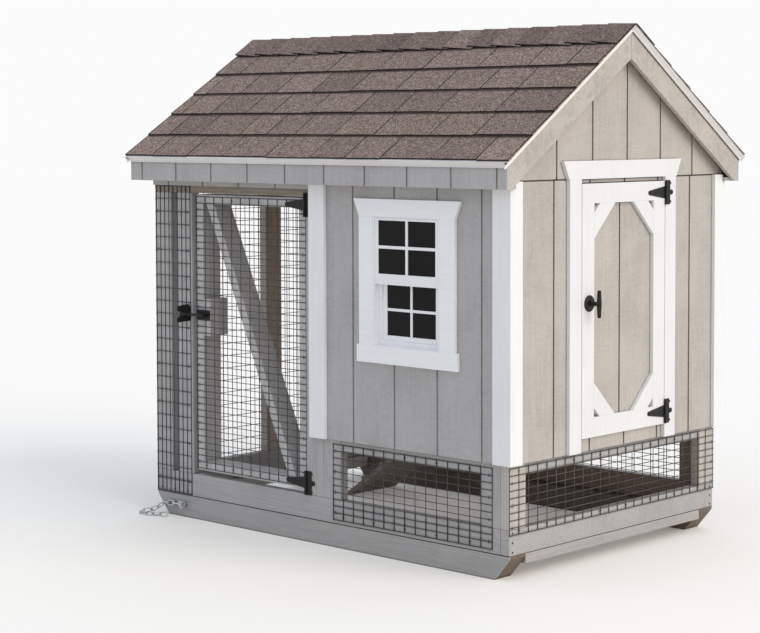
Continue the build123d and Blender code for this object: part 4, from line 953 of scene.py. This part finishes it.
def eased(names, body, slot, width):
    """Boards with their sharp edges taken off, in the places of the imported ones."""
    for node in names.split():
        bm = bmesh.new()
        for faces in solids(nodes[node].data):
            board = bmesh.new()
            corners = {point: board.verts.new(point) for point in dict.fromkeys(sum(faces, []))}
            for points in faces:
                board.faces.new([corners[point] for point in points])
            bmesh.ops.dissolve_limit(board, angle_limit=FLAT_ANGLE, verts=board.verts, edges=board.edges)
            whole = [edge for edge in board.edges if edge.is_manifold]
            ease(board, [edge for edge in whole if edge.calc_face_angle() > SHARP_ANGLE], width)
            part = bpy.data.meshes.new("board")
            board.to_mesh(part)
            board.free()
            bm.from_mesh(part)
            bpy.data.meshes.remove(part)
        piece = new_piece(node + "_eased", bm, body, slot, nodes[node].data.materials[0])
        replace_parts(piece, node)


eased("skids bottom_rails skid_ties floor_joists top_plates", "frame", "painted_timber", TIMBER_EASE)
eased(
    "front_wall_studs back_wall_studs end_wall_studs run_door_posts", "frame", "painted_timber", TIMBER_EASE
)
eased("run_door_frame run_door_brace run_door_latch_block", "run_door", "painted_timber", TIMBER_EASE)
eased("wall_trims window_trim door_trim", "frame", "white_trim", TRIM_EASE)
eased("house_door_frame house_door_braces", "house_door", "white_trim", TRIM_EASE)


def block(bm, low, high):
    """A plain board between two corners."""
    top, bottom = (
        [[Vector((x, y, z)) for y in (low[1], high[1])] for x in (low[0], high[0])] for z in (high[2], low[2])
    )
    slab(bm, top, bottom)


def sash(node, body, left, right, foot, head, bar, rebate=0.0, depth=0.0):
    """A window sash with slim bars over its pane, and a stepped rebate round the pane where there is one."""
    low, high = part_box(node)
    step = low.y + depth
    pane = step + PANE_SET
    face = step + BAR_SET
    across, rise = (left + right) / 2, (foot + head) / 2
    bm = bmesh.new()
    block(bm, (low.x, low.y, low.z), (left - rebate, high.y, high.z))
    block(bm, (right + rebate, low.y, low.z), (high.x, high.y, high.z))
    block(bm, (left - rebate, low.y, low.z), (right + rebate, high.y, foot - rebate))
    block(bm, (left - rebate, low.y, head), (right + rebate, high.y, high.z))
    if rebate:
        block(bm, (left - rebate, step, foot - rebate), (left, high.y, head))
        block(bm, (right, step, foot - rebate), (right + rebate, high.y, head))
        block(bm, (left, step, foot - rebate), (right, high.y, foot))
    block(bm, (across - bar / 2, face, foot), (across + bar / 2, pane + BAR_BED, head))
    block(bm, (left, face + CROSS_BAR_SET, rise - bar / 2), (right, pane + BAR_BED, rise + bar / 2))
    ease(bm, bm.edges[:], SASH_EASE)
    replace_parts(new_piece(node + "_bars", bm, body, "white_window", vinyl), node)
    bm = bmesh.new()
    block(
        bm,
        (left - PANE_LAP, pane, foot - PANE_LAP),
        (right + PANE_LAP, pane + PANE_THICK, head + PANE_LAP),
    )
    name = node.replace("sash", "glass")
    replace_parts(new_piece(name + "_pane", bm, body, "window_glass", glass), name)


sash("upper_sash", "frame", left=0.329, right=0.602, foot=1.024, head=1.214, bar=0.011)
sash(
    "lower_sash",
    "window_sash",
    left=0.349,
    right=0.582,
    foot=0.803,
    head=0.988,
    bar=0.010,
    rebate=0.018,
    depth=0.008,
)


def heads(name, body, spots, normal, size):
    """Nail or screw heads on one face."""
    bm = bmesh.new()
    for spot in spots:
        dome(bm, Vector(spot), Vector(normal), *size)
    new_piece(name, bm, body, "black_hardware", iron)


# Nails in the ends of the end rails
rail_low, rail_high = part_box("bottom_rails")
for end, x in (("house", rail_high.x), ("run", rail_low.x)):
    sides = (rail_low.y + RAIL_NAIL_INSET, rail_high.y - RAIL_NAIL_INSET)
    spots = [(x, y, z) for y in sides for z in RAIL_NAIL_LEVELS]
    heads("rail_nails_" + end, "frame", spots, (math.copysign(1, x), 0, 0), NAIL_HEAD)

# Screws in the hinges: three in each leaf, and three along each strap
for level, z in HOUSE_HINGE_LEVELS.items():
    face = HOUSE_HINGE_FACE + HINGE_PLATE
    spots = [(face, HOUSE_PIN_Y + LEAF_SCREW_REACH, z + lift) for lift in LEAF_SCREW_LIFTS]
    heads("house_leaf_screws_" + level, "frame", spots, (1, 0, 0), SCREW_HEAD)
    spots = [(face, HOUSE_PIN_Y - reach, z) for reach in STRAP_SCREW_REACHES]
    heads("house_strap_screws_" + level, "house_door", spots, (1, 0, 0), SCREW_HEAD)
for level, z in RUN_HINGE_LEVELS.items():
    face = RUN_HINGE_FACE - HINGE_PLATE
    spots = [(RUN_PIN_X + LEAF_SCREW_REACH, face, z + lift) for lift in LEAF_SCREW_LIFTS]
    heads("run_leaf_screws_" + level, "frame", spots, (0, -1, 0), SCREW_HEAD)
    spots = [(RUN_PIN_X - reach, face, z) for reach in STRAP_SCREW_REACHES]
    heads("run_strap_screws_" + level, "run_door", spots, (0, -1, 0), SCREW_HEAD)

# Camera
forward = Vector(
    (
        -math.sin(CAMERA_YAW) * math.cos(CAMERA_PITCH),
        math.cos(CAMERA_YAW) * math.cos(CAMERA_PITCH),
        -math.sin(CAMERA_PITCH),
    )
)
level = Vector((math.cos(CAMERA_YAW), math.sin(CAMERA_YAW), 0.0))
above = level.cross(forward)
right = level * math.cos(CAMERA_ROLL) + above * math.sin(CAMERA_ROLL)
up = right.cross(forward)
camera_data = bpy.data.cameras.new("camera")
camera_data.sensor_width = SENSOR
camera_data.lens = FOCAL_PIXELS / IMAGE_WIDE * SENSOR
camera_data.shift_y = (OPTICAL_ROW - IMAGE_HIGH / 2) / IMAGE_WIDE
camera_data.clip_end = CAMERA_FAR
camera = bpy.data.objects.new("camera", camera_data)
turn = Matrix((right, up, -forward)).transposed().to_4x4()
camera.matrix_world = Matrix.Translation(CAMERA_PLACE) @ turn
bpy.context.scene.collection.objects.link(camera)
bpy.context.scene.camera = camera


def seen_directly(tree):
    """One for rays from the camera, a reflection or a pane, nothing for the light on the object."""
    path = tree.nodes.new("ShaderNodeLightPath")
    total = path.outputs["Is Camera Ray"]
    for name in ("Is Glossy Ray", "Is Transmission Ray"):
        node = tree.nodes.new("ShaderNodeMath")
        node.operation = "ADD"
        node.use_clamp = True
        tree.links.new(total, node.inputs[0])
        tree.links.new(path.outputs[name], node.inputs[1])
        total = node.outputs[0]
    return total


# Floor
bpy.ops.mesh.primitive_circle_add(vertices=FLOOR_SIDES, radius=FLOOR_RADIUS, fill_type="NGON")
floor = bpy.context.object
floor.name = "floor"
floor_finish = Finish("floor", Roughness=FLOOR_ROUGHNESS, Emission_Color=WHITE)
seen = seen_directly(floor_finish.tree)
floor_finish.colour(
    floor_finish.mix(seen, FLOOR, FLOOR_SEEN),
    Emission_Strength=floor_finish.math("MULTIPLY", seen, FLOOR_GLOW),
)
floor.data.materials.append(floor_finish.material)

# Light
sun_data = bpy.data.lights.new("key", "SUN")
sun_data.energy = SUN_ENERGY
sun_data.angle = SUN_WIDTH
sun_data.color = SUN_COLOUR
sun = bpy.data.objects.new("key", sun_data)
sun.rotation_euler = SUN_FROM.to_track_quat("Z", "Y").to_euler()
bpy.context.scene.collection.objects.link(sun)

world = bpy.data.worlds.new("studio")
world.use_nodes = True
bpy.context.scene.world = world
sky_tree = world.node_tree
sky = sky_tree.nodes["Background"]
sky.inputs["Color"].default_value = (*SKY_COLOUR, 1.0)
sky.inputs["Strength"].default_value = SKY_STRENGTH
backdrop = sky_tree.nodes.new("ShaderNodeBackground")
backdrop.inputs["Color"].default_value = (*BACKDROP, 1.0)
either = sky_tree.nodes.new("ShaderNodeMixShader")
sky_tree.links.new(seen_directly(sky_tree), either.inputs[0])
sky_tree.links.new(sky.outputs[0], either.inputs[1])
sky_tree.links.new(backdrop.outputs[0], either.inputs[2])
sky_tree.links.new(either.outputs[0], sky_tree.nodes["World Output"].inputs["Surface"])

bpy.context.scene.view_settings.view_transform = "Standard"
